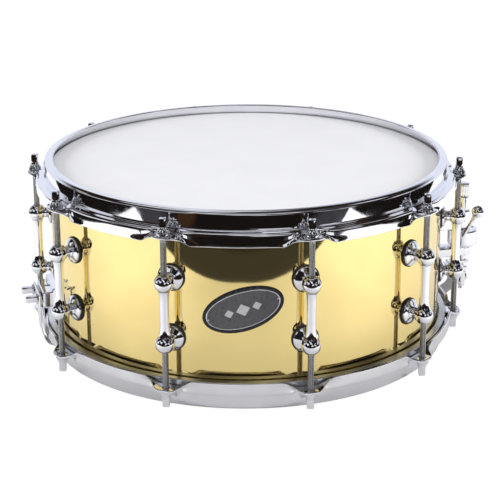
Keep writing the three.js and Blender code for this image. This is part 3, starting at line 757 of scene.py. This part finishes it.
def hoop_section(distance):
    """The hoop's sheet section at a distance round the rim from the nearest ear's middle."""
    out_share = 1 - smoothstep(distance, 6, 23)  # how far the lip has turned out into the ear
    shoulder_share = 1 - smoothstep(distance, 7, 15)  # how far the step is cut back behind the rod

    def mix(lip, ear, share=out_share):
        return lip + (ear - lip) * share

    rounding = math.cos(math.pi / 2 * np.clip((distance - 4) / 13, 0, 1)) ** 1.2
    tip = LIP_RADIUS + (EAR_REACH - LIP_RADIUS) * rounding
    lip_inside = LIP_RADIUS - STEEL
    ear_inside = FLESH_RADIUS + 0.6
    ear_root = ear_inside + STEEL - 0.3
    under_step = STEP - STEEL
    under_ear = EAR_TOP - STEEL
    flare = 2.2 * (1 - smoothstep(distance, 8, 36))  # the plain lip's foot leans out towards an ear
    crown = []
    for angle in np.radians(np.linspace(90, 0, 9)):
        radius = CROWN_RADIUS + (WALL_RADIUS - CROWN_RADIUS) * math.cos(angle)
        crown.append((radius, RIM - CROWN_DROP * (1 - math.sin(angle)), 0))
    shoulder = (mix(LIP_RADIUS, ear_root - 0.8, shoulder_share), mix(STEP - 1.6, STEP - 2.6, shoulder_share))
    outline = [
        (FLANGE_RADIUS, RIM - 0.1, 1.0),
        *crown,
        (WALL_RADIUS, STEP, 1.1),
        (mix(LIP_RADIUS - 1.2, WALL_RADIUS + 2, shoulder_share), STEP, 1.6),
        (*shoulder, 1.6),
        (mix(LIP_RADIUS, ear_root), mix(LIP_FOOT + 4, EAR_TOP), 1.8),
        (mix(LIP_RADIUS + flare, tip), mix(LIP_FOOT, EAR_TOP), 0.9),
        (mix(lip_inside + flare, tip), mix(LIP_FOOT, under_ear), 0.9),
        (mix(lip_inside, ear_inside), mix(LIP_FOOT + 2, under_ear), 1.6),
        (mix(lip_inside, ear_inside, shoulder_share), mix(under_step - 0.8, under_step - 2.4), 1.2),
        (mix(lip_inside - 0.8, ear_inside - 2.4, shoulder_share), under_step, 1.2),
        (WALL_RADIUS - STEEL, under_step, 0.9),
        (WALL_RADIUS - STEEL, RIM - STEEL, 1.2),
        (FLANGE_RADIUS, RIM - STEEL, 1.1),
    ]
    return fillet(outline)


def hoop_ring():
    """The hoop's section swept round the drum, with closer steps at the ears."""
    sections = []
    offsets = np.concatenate([np.arange(-8, 8, 0.5), np.arange(8, LUG_SPACING - 8, 1.0)])
    for lug in LUG_ANGLES:
        for offset in offsets:
            from_ear = abs((offset + LUG_SPACING / 2) % LUG_SPACING - LUG_SPACING / 2)
            section = hoop_section(math.radians(from_ear) * LIP_RADIUS)
            angle = math.radians(lug + offset - 90)
            sections.append([(r * math.cos(angle), r * math.sin(angle), z) for r, z in section])
    return skin(sections, closed=True)


def hoop_mesh(with_gates):
    """A hoop with its ears drilled, and with two gates in its rim if straps pass under it."""
    drill = set_out(solid_pin(EAR_HOLE, EAR_TOP - 5, EAR_TOP + 3, 28, 0), ROD_CIRCLE)
    cuts = [merged(*[moved(drill, turn_to(angle)) for angle in LUG_ANGLES])]
    if with_gates:
        across = (-GATE_HALF_WIDTH, GATE_HALF_WIDTH)
        gate = rounded_box((FLANGE_RADIUS - 4, WALL_RADIUS + 2), across, (STEP + 1.4, RIM + 8), 3)
        # the lower hoop is turned over, which takes an angle to 180 degrees less that angle
        cuts += [moved(gate, turn_to(180 - angle)) for angle in (STRAINER_ANGLE, BUTT_ANGLE)]
    return combined("hoop", hoop_ring(), cut=cuts, sharp_angle=45)


def add_hoops():
    for node, lower in (("top_hoop", False), ("bottom_hoop", True)):
        add_finished(node, hoop_mesh(with_gates=lower), CHROME, node, flipped=lower)


# ---- lugs


def lug_tube():
    """Half the outline is worked out and mirrored: bore, ball, a crisp neck, then a flare that thins out."""
    bore_end, bore, flat, neck, waist = 2.5, 3.05, 6.8, 6.5, 3.9
    ball_low = math.degrees(math.asin(-neck / BALL_RADIUS))
    ball_high = math.degrees(math.asin(flat / BALL_RADIUS))
    ball = arc((0, POST_HEIGHT), BALL_RADIUS, ball_high, ball_low, 18)
    heights = np.linspace(POST_HEIGHT - neck - 0.1, 0, 14)
    tube = [(waist + 1.25 * math.exp(-(heights[0] - z) / 3.9), z) for z in heights]
    top = POST_HEIGHT + flat
    half = [(0, bore_end), (bore, bore_end), (bore, top - 0.3), (bore + 0.3, top), *ball, *tube]
    lower = [(r, -z) for r, z in reversed(half)]
    return set_out(revolve(half + lower[1:]), ROD_CIRCLE)


def lug_post(height):
    """The dished foot on the shell and the stem that carries the ball."""
    stem, stem_end = 4.6, ROD_CIRCLE - 4.4
    profile = [
        (0, LUG_FOOT, 0),
        (11.0, LUG_FOOT, 0.3),
        (10.9, LUG_FOOT + 1.5, 1.0),
        (8.2, LUG_FOOT + 3.2, 1.6),
        (5.2, LUG_FOOT + 4.6, 1.6),
        (stem, LUG_FOOT + 6.5, 1.2),
        (stem, stem_end, 0),
        (0, stem_end, 0),
    ]
    return out(revolve(fillet(profile, 5)), 0, height)


def lug_mesh():
    heights = (POST_HEIGHT, -POST_HEIGHT)
    posts = [lug_post(height) for height in heights]
    bores = [bore_out(2.05, LUG_FOOT - 1, LUG_FOOT + 8, 0, height, 20) for height in reversed(heights)]
    return combined("lug", lug_tube(), posts, bores, sharp_angle=38)


def gasket_mesh():
    """A rubber disc under a lug's foot, its inside bent to the shell's curve."""
    thickness = LUG_FOOT - SHELL_RADIUS - 0.1
    hole, rim = 2.4, 11.9
    ring = fillet([(hole, 0, 0), (rim, 0, 0.3), (rim, thickness, 0.5), (hole, thickness, 0)])
    vertices, faces = out(revolve(ring, 56))
    bent = []
    for x, y, z in vertices:
        sag = SHELL_RADIUS - math.sqrt(SHELL_RADIUS**2 - y * y)
        bent.append((SHELL_RADIUS + 0.05 + x - sag * (1 - x / thickness), y, z))
    return make_mesh("gasket", (bent, faces))


def lug_screw_mesh():
    """A hexagon-headed screw and its washer, inside the shell."""
    seat = SHELL_RADIUS - SHELL_WALL - 0.1
    under_head = seat - 1.0
    hexagon = [(4.0 * math.cos(a), 4.0 * math.sin(a)) for a in np.radians(np.arange(0, 360, 60))]
    head = prism(hexagon, seat - 3.8, under_head, 0.3)
    ring = fillet([(2.2, under_head, 0), (6.0, under_head, 0.2), (6.0, seat, 0.2), (2.2, seat, 0)])
    shank = skin(threaded(1.6, 1.95, seat - 1.2, LUG_FOOT + 7, 16, pitch=0.7))
    return make_mesh("lug_screw", merged(out(head), out(revolve(ring, 32)), out(shank)))


def add_lugs():
    lug = lug_mesh()
    fixings = (("gasket", gasket_mesh(), RUBBER), ("screw", lug_screw_mesh(), HARDWARE))
    for number, angle in enumerate(LUG_ANGLES, 1):
        node = f"lug_{number:02d}"
        add_finished(node, lug, CHROME, "drum", angle)
        for place, height in (("upper", POST_HEIGHT), ("lower", -POST_HEIGHT)):
            for kind, mesh, material in fixings:
                add_piece(f"{node}_{place}_{kind}", mesh, material, "drum", angle, move=(0, 0, height))


# ---- tension rods


def key_head(start, end, half, around):
    """Rings of a square key head with a chamfered end, from a height where it is already square."""
    chamfer = [(end - 0.9, half, 9), (end - 0.3, half - 0.3, 7), (end, half - 0.95, 4)]
    return stack([(start, half, 9), *chamfer], around)


def rod_mesh():
    """A tension rod: chamfered tip, thread, flange, flared collar and square head."""
    around = 24
    collar_foot, collar_top = ROD_SEAT + 1.6, ROD_SEAT + 4.6
    half = KEY_SQUARE / 2
    rings = stack([(ROD_TIP, 1.9), (ROD_TIP + 0.5, 2.35)], around)
    rings += threaded(2.38, ROD_RADIUS, ROD_TIP + 0.7, ROD_SEAT - 1.4, around, 6)
    rings += stack([(ROD_SEAT - 1.2, 2.45), (ROD_SEAT - 0.05, 2.45)], around)
    flange = [(0, 2.6), (0, 4.9), (0.25, 5.2), (1.0, 5.2), (1.35, 4.95), (1.45, 4.6)]
    rings += stack([(ROD_SEAT + height, radius) for height, radius in flange], around)
    for t in np.linspace(0, 1, 9):
        flare = 3.5 + 1.2 * (1 - t) ** 1.6
        rings += stack([(collar_foot + (collar_top - collar_foot - 0.2) * t, flare, 2 + 0.8 * t**3)], around)
    rings += stack([(collar_top + 0.1, half + 0.05, 5)], around)
    rings += key_head(collar_top + 0.6, ROD_TOP, half, around)
    mesh = make_mesh("tension_rod", skin(rings), 38)
    for material in (THREAD_STEEL, CHROME):
        mesh.materials.append(material)
    for face in mesh.polygons:
        face.material_index = 1 if face.center.z / MM > ROD_SEAT else 0
    return mesh


def washer_mesh():
    low, high = EAR_TOP + 0.05, ROD_SEAT - 0.05
    ring = fillet([(2.9, low, 0.2), (5.7, low, 0.3), (5.7, high, 0.4), (2.9, high, 0.2)])
    return make_mesh("washer", set_out(revolve(ring, 40), ROD_CIRCLE))


def add_rods():
    rod, washer = rod_mesh(), washer_mesh()
    at_rod = (ROD_CIRCLE, 0, 0)
    for side, flipped in (("top", False), ("bottom", True)):
        for number, angle in enumerate(LUG_ANGLES, 1):
            name = f"{side}_rod_{number:02d}"
            spin = angle if flipped else -angle  # the rods' keys all stand square to the room
            add_finished(name, rod, CHROME, name, angle, flipped, at_rod, spin, weighted=False)
            add_piece(f"{name}_washer", washer, HARDWARE, f"{side}_hoop", angle, flipped)


# ---- strainer

SLEEVE_RADIUS = 4.6
SLEEVE_BORE = 4.9
SPINDLE_RADIUS = 2.1
HUB_TOP = -7.6
HUB_BOTTOM = -24
HUB_RADIUS = 14.4
CLAMP_TOP = -45
CLAMP_BOTTOM = -59.6
CLAMP_MIDDLE = (CLAMP_TOP + CLAMP_BOTTOM) / 2
CLAMP_FACE = 207.6
GUIDE_AT = 210.6  # the guide pin between the slider and the clamp
CLAMP_SCREW_OFFSET = 12.5
CLAMP_ACROSS = (-19, 19)
LEVER_ROOT = Vector((211, -12.5, -12))
LEVER_BALL = Vector((222.5, -19, 14))


def strainer_base_mesh():
    """The fixed bracket: a foot on the shell, a web, and two arms that end in bosses round the sleeve."""
    foot = shell_foot(184, 19, -40, 6)
    web = rounded_box((182, 190), (-9, 9), (-38, 4), 1.6)
    upper_arm = rounded_box((186, SPINDLE_AT), (-6.4, 6.4), (-6.3, 4), 0.8)
    lower_arm = rounded_box((186, SPINDLE_AT), (-8.2, 8.2), (-33, HUB_BOTTOM - 0.6), 0.8)
    upper_boss = at_spindle(solid_pin(6.6, -6.3, 11, 48, 1.0))
    lower_boss = at_spindle(solid_pin(8.4, -33, HUB_BOTTOM - 0.6, 48, 1.2))
    cuts = [at_spindle(solid_pin(SLEEVE_BORE, -60, 60, 40, 0))]
    cuts += [bore_out(2.3, 170, 189, 0, height, 20) for height in STRAINER_SCREWS]
    return combined("strainer_base", foot, [web, upper_arm, lower_arm, upper_boss, lower_boss], cuts)


def strainer_hub_mesh():
    """The cam hub: a bevelled drum with a shallow dish in its top."""
    profile = [
        (SLEEVE_BORE, HUB_BOTTOM, 0.3),
        (HUB_RADIUS - 3.2, HUB_BOTTOM, 0.6),
        (HUB_RADIUS, HUB_BOTTOM + 2.6, 0.8),
        (HUB_RADIUS, HUB_TOP, 1.3),
        (HUB_RADIUS - 3.0, HUB_TOP, 0.5),
        (HUB_RADIUS - 3.6, HUB_TOP - 0.9, 0.5),
        (SLEEVE_BORE + 2.2, HUB_TOP - 0.9, 0.4),
        (SLEEVE_BORE + 2.0, HUB_TOP, 0.4),
        (SLEEVE_BORE, HUB_TOP, 0.4),
    ]
    return make_mesh("strainer_hub", at_spindle(revolve(fillet(profile), 72)))


def lever_mesh():
    """A round arm that swells into a drop-shaped ball."""
    direction = LEVER_BALL - LEVER_ROOT
    length = direction.length
    radius = 5.9
    neck = [(1.8 + 1.1 * t**2.2, length - 11.5 + 6.0 * t) for t in np.linspace(0, 1, 8)]
    ball = arc((0, length), radius, -64, 90, 22)
    profile = [(0, 0), (1.6, 0), (1.8, 0.4), *neck[:-1], *ball[:-1], (0, length + radius)]
    lean = direction.to_track_quat("Z", "Y").to_matrix().to_4x4()
    lever = moved(revolve(profile, 40), Matrix.Translation(LEVER_ROOT) @ lean)
    return make_mesh("strainer_lever", lever, 50)


def slider_mesh():
    """The sleeve that slides in the bracket, with a flange and a guide pin for the clamp under it."""
    foot = -41.5
    sleeve = at_spindle(solid_pin(SLEEVE_RADIUS, foot, 24.4, 48, 0.6))
    flange = rounded_box((206.5, 221), (-6, 6), (foot, foot + 3), 0.7)
    guide = set_out(solid_pin(1.4, -63, -39, 24, 0.4), GUIDE_AT)
    bore = at_spindle(solid_pin(SPINDLE_RADIUS + 0.3, -60, 40, 28, 0))
    return combined("strainer_slider", sleeve, [flange, guide], [bore])


def knob_mesh():
    """A fluted grip under a plain domed cap, on the long threaded spindle."""
    low, high = 24.7, 38.0
    angles = full_turn(96)
    flutes = np.abs(np.cos(angles * 6)) ** 0.7

    def ring(height, radius, depth):
        return ring_at(height, radius - depth * (1 - flutes), angles)

    foot = [(0, 3.4, 0), (0, 4.4, 0), (0.4, 4.8, 0.1), (1.2, 5.0, 0.7)]
    cap = [(2.8, 5.0, 0.5), (2.4, 4.6, 0), (2.1, 4.6, 0), (1.9, 5.1, 0)]
    cap += [(1.6, 5.2, 0), (0.8, 5.2, 0), (0.3, 4.9, 0), (0, 3.9, 0)]
    rings = [ring(low + rise, radius, depth) for rise, radius, depth in foot]
    rings += [ring(z, 5.0, 0.75) for z in np.linspace(low + 1.6, high - 3.2, 4)]
    rings += [ring(high - drop, radius, depth) for drop, radius, depth in cap]
    spindle = skin(threaded(1.82, SPINDLE_RADIUS, -69, low + 1, 20, 4, 0.8))
    return make_mesh("strainer_knob", at_spindle(merged(skin(rings), spindle)), 42)


def clamp_screw_bores():
    return [bore_out(2.2, 200, 225, side * CLAMP_SCREW_OFFSET, CLAMP_MIDDLE) for side in (-1, 1)]


def clamp_block_mesh():
    """A bar across the strap with a boss for the spindle in its middle."""
    bar = rounded_box((CLAMP_FACE, 212.4), CLAMP_ACROSS, (CLAMP_BOTTOM, CLAMP_TOP), 0.8)
    boss = rounded_box((CLAMP_FACE + 0.5, 220.4), (-5.2, 5.2), (CLAMP_BOTTOM + 0.2, CLAMP_TOP - 0.2), 1.0)
    spindle_bore = at_spindle(solid_pin(SPINDLE_RADIUS + 0.3, -70, -40, 28, 0))
    guide_bore = set_out(solid_pin(1.7, -70, -40, 24, 0), GUIDE_AT)
    cuts = [spindle_bore, guide_bore, *clamp_screw_bores()]
    return combined("strainer_clamp_block", bar, [boss], cuts)


def clamp_plate_mesh():
    outer = CLAMP_FACE - 1.6
    plate = rounded_box((outer - 2.2, outer), CLAMP_ACROSS, (CLAMP_MIDDLE - 5.5, CLAMP_MIDDLE + 5.5), 0.6)
    return combined("strainer_clamp_plate", plate, (), clamp_screw_bores())


def clamp_screw_mesh():
    """A cheese-headed screw with a slot, its threaded shank pointing at the drum."""
    seat = 212.7
    head = revolve(fillet([(0, seat, 0), (3.6, seat, 0.2), (3.6, seat + 3, 0.9), (0, seat + 3, 0)]), 40)
    slot = rounded_box((-0.5, 0.5), (-5, 5), (seat + 1.9, seat + 4), 0.05)
    shank = skin(threaded(1.6, 1.9, CLAMP_FACE - 4, seat + 0.2, 18, pitch=0.7))
    return combined("strainer_clamp_screw", out(head), [out(shank)], [out(slot)])


def mount_screw_mesh():
    """A pan-headed screw with a cross recess, from inside the shell."""
    seat = SHELL_RADIUS - SHELL_WALL - 0.5
    crown = seat - 2.4
    head = revolve(fillet([(0, crown, 0), (4.4, crown, 1.6), (4.4, seat, 0.2), (0, seat, 0)], 5), 40)
    long, short, depth = (-2.4, 2.4), (-0.45, 0.45), (seat - 4, seat - 1.2)
    recess = [out(rounded_box(x, y, depth, 0.05)) for x, y in ((long, short), (short, long))]
    shank = skin(threaded(1.7, 2.0, seat - 0.2, SHELL_RADIUS + 10, 18, pitch=0.7))
    return combined("mount_screw", out(head), [out(shank)], recess)


def add_strainer():
    pieces = (
        ("strainer_base", strainer_base_mesh(), "drum"),
        ("strainer_cam", strainer_hub_mesh(), "strainer_lever"),
        ("strainer_lever", lever_mesh(), "strainer_lever"),
        ("strainer_slider", slider_mesh(), "strainer_slider"),
        ("strainer_tension_knob", knob_mesh(), "strainer_knob"),
        ("strainer_clamp_block", clamp_block_mesh(), "strainer_clamp"),
        ("strainer_clamp_plate", clamp_plate_mesh(), "strainer_clamp"),
    )
    for node, mesh, body in pieces:
        add_finished(node, mesh, CHROME, body, STRAINER_ANGLE)
    for number, side in ((1, -1), (2, 1)):
        node = f"strainer_clamp_screw_{number}"
        move = (0, side * CLAMP_SCREW_OFFSET, CLAMP_MIDDLE)
        add_finished(node, clamp_screw_mesh(), HARDWARE, node, STRAINER_ANGLE, move=move)


def add_mount_screws():
    sets = (("strainer", STRAINER_ANGLE, STRAINER_SCREWS), ("butt", BUTT_ANGLE, BUTT_SCREWS))
    for kind, angle, heights in sets:
        for number, height in enumerate(heights, 1):
            node = f"{kind}_mount_screw_{number}"
            add_finished(node, mount_screw_mesh(), HARDWARE, "drum", angle, move=(0, 0, height))


# ---- butt plate

BUTT_MIDDLE = -31
BUTT_FACE = 192.2
BUTT_SCREW_OFFSET = 12
BUTT_PLATE = (BUTT_FACE + 1.4, BUTT_FACE + 3.8)


def butt_screw_bores():
    return [bore_out(2.5, 182, 200, side * BUTT_SCREW_OFFSET, BUTT_MIDDLE) for side in (-1, 1)]


def butt_base_mesh():
    foot = shell_foot(184, 21, BUTT_MIDDLE - 11.5, BUTT_MIDDLE + 10.5)
    body = rounded_box((182, BUTT_FACE), (-18, 18), (BUTT_MIDDLE - 7, BUTT_MIDDLE + 7), 1.2)
    mount_bores = [bore_out(2.3, 170, 188, 0, height, 20) for height in BUTT_SCREWS]
    return combined("butt_base", foot, [body], butt_screw_bores() + mount_bores)


def butt_plate_mesh():
    plate = rounded_box(BUTT_PLATE, (-19, 19), (BUTT_MIDDLE - 5, BUTT_MIDDLE + 5), 0.8)
    return combined("butt_clamp_plate", plate, (), butt_screw_bores())


def key_screw_mesh():
    """A drum-key screw: threaded shank, round flange and square head."""
    seat, end = BUTT_PLATE[1] + 0.3, 207
    around = 32
    half = 2.8
    flange = [(0, 2.2), (0, 4.7), (0.25, 5.0), (1.1, 5.0), (1.4, 4.6), (1.5, 3.5)]
    neck = [(1.7, half + 0.1, 6), (2.2, half, 9)]
    rings = threaded(1.85, 2.2, 183, seat - 0.2, around, pitch=0.8)
    rings += stack([(seat + rise, *shape) for rise, *shape in flange + neck], around)
    rings += stack([(end - 0.8, half, 9), (end - 0.3, half - 0.3, 7), (end, half - 0.9, 4)], around)
    return make_mesh("butt_key_screw", out(skin(rings)), 38)


def add_butt():
    add_finished("butt_base", butt_base_mesh(), CHROME, "drum", BUTT_ANGLE)
    add_finished("butt_clamp_plate", butt_plate_mesh(), CHROME, "drum", BUTT_ANGLE)
    for number, side in ((1, -1), (2, 1)):
        node = f"butt_clamp_screw_{number}"
        move = (0, side * BUTT_SCREW_OFFSET, BUTT_MIDDLE)
        add_finished(node, key_screw_mesh(), HARDWARE, node, BUTT_ANGLE, move=move, weighted=False)


# ---- snare wires and straps

WIRE_COUNT = 20
WIRES_HALF_WIDTH = 20
WIRE_PLATE = (154, 168)
WIRE_TOP = -FILM_TOP - 0.7
STRAP_LEVEL = -FILM_TOP - 2.4
STRAP_HALF_WIDTH = 9
STRAP_THICKNESS = 0.7


def coil(offset):
    """One coiled strand of wire, from plate to plate."""
    coil_radius, wire_radius, pitch, steps = 0.62, 0.27, 2.4, 9
    start = WIRE_PLATE[0] + 4
    x = np.arange(-start, start, pitch / steps)
    turn = 2 * math.pi * x / pitch
    out_y, out_z = np.cos(turn), np.sin(turn)
    centre = np.stack([x, offset + coil_radius * out_y, WIRE_TOP - 0.6 + coil_radius * out_z], 1)
    radial = np.stack([np.zeros_like(x), out_y, out_z], 1)
    across = np.cross(directions(centre), radial)
    corners = np.radians((45, 135, 225, 315))
    rings = [centre + wire_radius * (math.cos(a) * radial + math.sin(a) * across) for a in corners]
    return skin(np.stack(rings, 1))


def wires_mesh():
    spacing = 2 * WIRES_HALF_WIDTH / (WIRE_COUNT - 1)
    strands = [coil(spacing * (i - (WIRE_COUNT - 1) / 2)) for i in range(WIRE_COUNT)]
    half = WIRES_HALF_WIDTH + 1
    plates = []
    for side in (-1, 1):
        ends = sorted((side * WIRE_PLATE[0], side * WIRE_PLATE[1]))
        plates.append(rounded_box(ends, (-half, half), (WIRE_TOP - 1.6, WIRE_TOP - 0.8), 0.25))
        solder = sorted((side * (WIRE_PLATE[0] + 3), side * (WIRE_PLATE[0] + 8)))
        plates.append(rounded_box(solder, (-half + 0.6, half - 0.6), (WIRE_TOP - 1.2, WIRE_TOP - 0.05), 0.4))
    return make_mesh("snare_wires", merged(*strands, *plates), 50)


def strap_mesh(path):
    """A flat strap along a path of (distance from the axis, height) points, with its bends rounded."""
    line = np.array(fillet([(x, z, 4 if 0 < i < len(path) - 1 else 0) for i, (x, z) in enumerate(path)], 8))
    along = directions(line)
    across = np.stack([along[:, 1], -along[:, 0]], 1) * STRAP_THICKNESS / 2
    rings = []
    for (x, z), (ax, az) in zip(line, across):
        corners = ((ax, az, 1), (-ax, -az, 1), (-ax, -az, -1), (ax, az, -1))
        rings.append([(x + dx, side * STRAP_HALF_WIDTH, z + dz) for dx, dz, side in corners])
    return make_mesh("snare_strap", skin(rings), 30)


def add_wires():
    under_hoop = [(WIRE_PLATE[1] + 1, STRAP_LEVEL), (182, STRAP_LEVEL + 0.4), (187.5, STRAP_LEVEL + 2.4)]
    butt_line = BUTT_FACE + 0.7
    clamp_line = CLAMP_FACE - 0.95
    butt_path = [*under_hoop, (190.6, -72), (butt_line, -62), (butt_line, BUTT_MIDDLE + 6)]
    strainer_path = [*under_hoop, (191, -73.5), (clamp_line, -63), (clamp_line, -46)]
    add_finished("snare_wires", wires_mesh(), WIRE_STEEL, "snare_wires", STRAINER_ANGLE)
    add_finished("snare_strap_strainer", strap_mesh(strainer_path), STRAP, "snare_wires", STRAINER_ANGLE)
    add_finished("snare_strap_butt", strap_mesh(butt_path), STRAP, "drum", BUTT_ANGLE)


# ---- stage, lights and camera

FLOOR_LEVEL = CAD_BOUNDS[0].z - 0.0005
SWEEP_FRONT = -0.47  # where the white sweep ends in front of the drum, seen only in reflections
SWEEP_SIDE = 0.58
SWEEP_BACK = 0.42


def floor_material():
    """A white sweep: almost shadowless to the camera. In the drum's reflections it carries painted light and
    shade: darker in front, lighter to the sides, with painted blotches and a painted shadow round the drum's
    foot.
    """
    shader = Shader("pale_floor", "stage")
    sideways = shader.maths("ABSOLUTE", shader.place_parts()["X"])
    # painted light and shade on the sweep: lighter to the sides, where the side lamps fall, darker in front
    # of the drum, with painted blotches of light and shade
    painted_fold_shade = shader.ramp(shader.noise(3.2, 2), -0.15, 0.15)
    painted_side_light = shader.maths("ADD", painted_fold_shade, shader.ramp(sideways, 0, 1, 0.04, 0.36))
    tone = shader.blend(painted_side_light, (0.57, 0.57, 0.58), (0.95, 0.95, 0.96))
    distance = shader.add("ShaderNodeVectorMath", operation="LENGTH")
    shader.put(shader.place, distance.inputs[0])
    # painted shadow: the sweep is darkened round the drum's foot, where the drum's own shadow falls
    clear_of_painted_shadow = shader.ramp(distance.outputs["Value"], 0, 1, 0.22, 0.36)
    shade = shader.blend(clear_of_painted_shadow, (0.78, 0.78, 0.77), (1.0, 1.0, 1.0))
    shader.set(Base_Color=shader.blend(1.0, tone, shade, "MULTIPLY"), Roughness=0.9, Specular_IOR_Level=0.0)
    shader.set(Emission_Color=(1.0, 1.0, 1.0), Emission_Strength=0.10)
    paper = shader.add("ShaderNodeEmission", Color=(1, 1, 1, 1), Strength=1.08)
    mix = shader.add("ShaderNodeMixShader")
    paper_share = shader.maths("MULTIPLY", shader.light_path("Is Camera Ray"), 0.9)
    for source, socket in zip((paper_share, shader.surface.outputs[0], paper.outputs[0]), mix.inputs):
        shader.put(source, socket)
    shader.put(mix.outputs[0], shader.tree.nodes["Material Output"].inputs["Surface"])
    return shader.material


def card_material(name, near_colour, far_colour, patch_colour):
    """A card that glows faintly, fading away from the drum to another colour with patches in it."""
    shader = Shader(name, "stage")
    fade = shader.ramp(shader.place_parts()["Y"], 1, 0, SWEEP_FRONT - 0.13, SWEEP_FRONT - 0.08)
    patches = shader.ramp(shader.noise(2.6, 1), 0, 1, 0.55, 0.60)
    glow = shader.blend(fade, near_colour, shader.blend(patches, far_colour, patch_colour))
    shader.set(Base_Color=(0, 0, 0), Specular_IOR_Level=0.0, Emission_Color=glow, Emission_Strength=1.0)
    return shader.material


def add_panel(name, outline, level, material, only_reflected=False):
    """A flat sheet of the stage. One that is only reflected isn't seen by the camera and casts nothing."""
    mesh = bpy.data.meshes.new(name)
    mesh.from_pydata([(x, y, level) for x, y in outline], [], [tuple(range(len(outline)))])
    mesh.materials.append(material)
    panel = add_object(name, mesh)
    for kind in ("camera", "diffuse", "shadow", "transmission"):
        setattr(panel, f"visible_{kind}", not only_reflected)


def add_stage():
    far = 6.0
    add_panel("floor", rectangle((-far, far), (-far, far)), FLOOR_LEVEL, floor_material())
    room, brown = (0.009, 0.007, 0.006), (0.045, 0.022, 0.011)
    dark_front = card_material("room_dark_front", (0.05, 0.05, 0.055), room, brown)
    dark_side = card_material("room_dark_side", room, room, brown)
    level = FLOOR_LEVEL + 0.002
    swept_back = SWEEP_FRONT + 0.067 * far
    front = [(-far, -far), (far, -far), (far, swept_back), (0, SWEEP_FRONT), (-far, swept_back)]
    add_panel("dark_front", front, level, dark_front, only_reflected=True)
    for side, x in (("left", (-far, -SWEEP_SIDE)), ("right", (SWEEP_SIDE, far))):
        area = rectangle(x, (SWEEP_FRONT, SWEEP_BACK))
        add_panel(f"dark_{side}", area, level + 0.001, dark_side, only_reflected=True)


def add_light(name, location, target, size, power, in_reflections=True):
    data = bpy.data.lights.new(name, "AREA")
    data.shape = "RECTANGLE"
    data.size, data.size_y = size
    data.energy = power
    light = add_object(name, data)
    light.location = location
    light.rotation_euler = (Vector(target) - Vector(location)).to_track_quat("-Z", "Y").to_euler()
    light.visible_glossy = in_reflections


def add_lights():
    add_light("overhead", (0, -0.15, 2.0), (0, 0, 0), (1.6, 1.6), 7, in_reflections=False)
    add_light("left_box", (-1.7, -0.5, 0.75), (0, 0, -0.05), (0.7, 1.1), 22.5, in_reflections=False)
    add_light("right_box", (1.7, -0.5, 0.75), (0, 0, -0.05), (0.6, 0.9), 24.5, in_reflections=False)
    add_light("top_strip", (0, -0.35, 1.9), (0, 0, 0), (1.3, 0.35), 1.5)


def add_world():
    """White to the camera, grey to matt surfaces. Metal mirrors a dark room before a white backdrop."""
    world = bpy.data.worlds.new("studio")
    world.use_nodes = True
    bpy.context.scene.world = world
    sky = Nodes(world.node_tree, "Generated")
    direction = sky.place_parts()
    sideways = sky.maths("ABSOLUTE", direction["X"])

    clutter = sky.soft_step(sky.noise(2.2, 2.0), 0.5, 0.62)
    windows = sky.soft_step(sky.noise(2.3, 0.0), 0.60, 0.63)
    room = sky.blend(clutter, (0.012, 0.010, 0.010), (0.045, 0.026, 0.017))
    room = sky.blend(windows, room, (0.80, 0.82, 0.86))
    room = sky.blend(sky.soft_step(direction["Z"], 0.75, 1.0), room, (0.07, 0.07, 0.08))
    backdrop = sky.blend(sky.soft_step(sideways, 0.0, 0.09), (0.40, 0.41, 0.46), (0.84, 0.88, 1.0))
    behind = sky.blend(sky.soft_step(direction["Z"], 0.38, 0.56), backdrop, room)
    seen_in_metal = sky.blend(sky.soft_step(direction["Y"], 0.3, 0.6), room, behind)

    matt = sky.blend(sky.light_path("Is Diffuse Ray"), (1.0, 1.0, 1.0), (0.45, 0.45, 0.46))
    seen = sky.blend(sky.light_path("Is Glossy Ray"), matt, seen_in_metal)
    sky.put(seen, sky.tree.nodes["Background"].inputs["Color"])


def add_camera():
    """Looks a little down at the drum, from slightly right of the badge."""
    distance, azimuth, elevation, roll = 1.4077, 2.17, 18.14, -0.17
    aim = Vector((0, 0, (MIDDLE + 21.9) * MM))
    a, e = math.radians(azimuth), math.radians(elevation)
    back = Vector((math.sin(a) * math.cos(e), -math.cos(a) * math.cos(e), math.sin(e)))
    data = bpy.data.cameras.new("camera")
    data.sensor_width = 36
    data.lens = 110.4
    data.shift_x, data.shift_y = 0.0078, -0.0632
    camera = add_object("camera", data)
    camera.location = aim + back * distance
    look = (-back).to_track_quat("-Z", "Y").to_matrix().to_4x4()
    lean = Matrix.Rotation(math.radians(roll), 4, "Z")
    camera.matrix_world = Matrix.Translation(camera.location) @ look @ lean
    bpy.context.scene.camera = camera


add_shell()
add_heads()
add_hoops()
add_lugs()
add_rods()
add_strainer()
add_mount_screws()
add_butt()
add_wires()
add_stage()
add_lights()
add_world()
add_camera()
bpy.context.scene.view_settings.view_transform = "Standard"

bpy.context.view_layer.update()
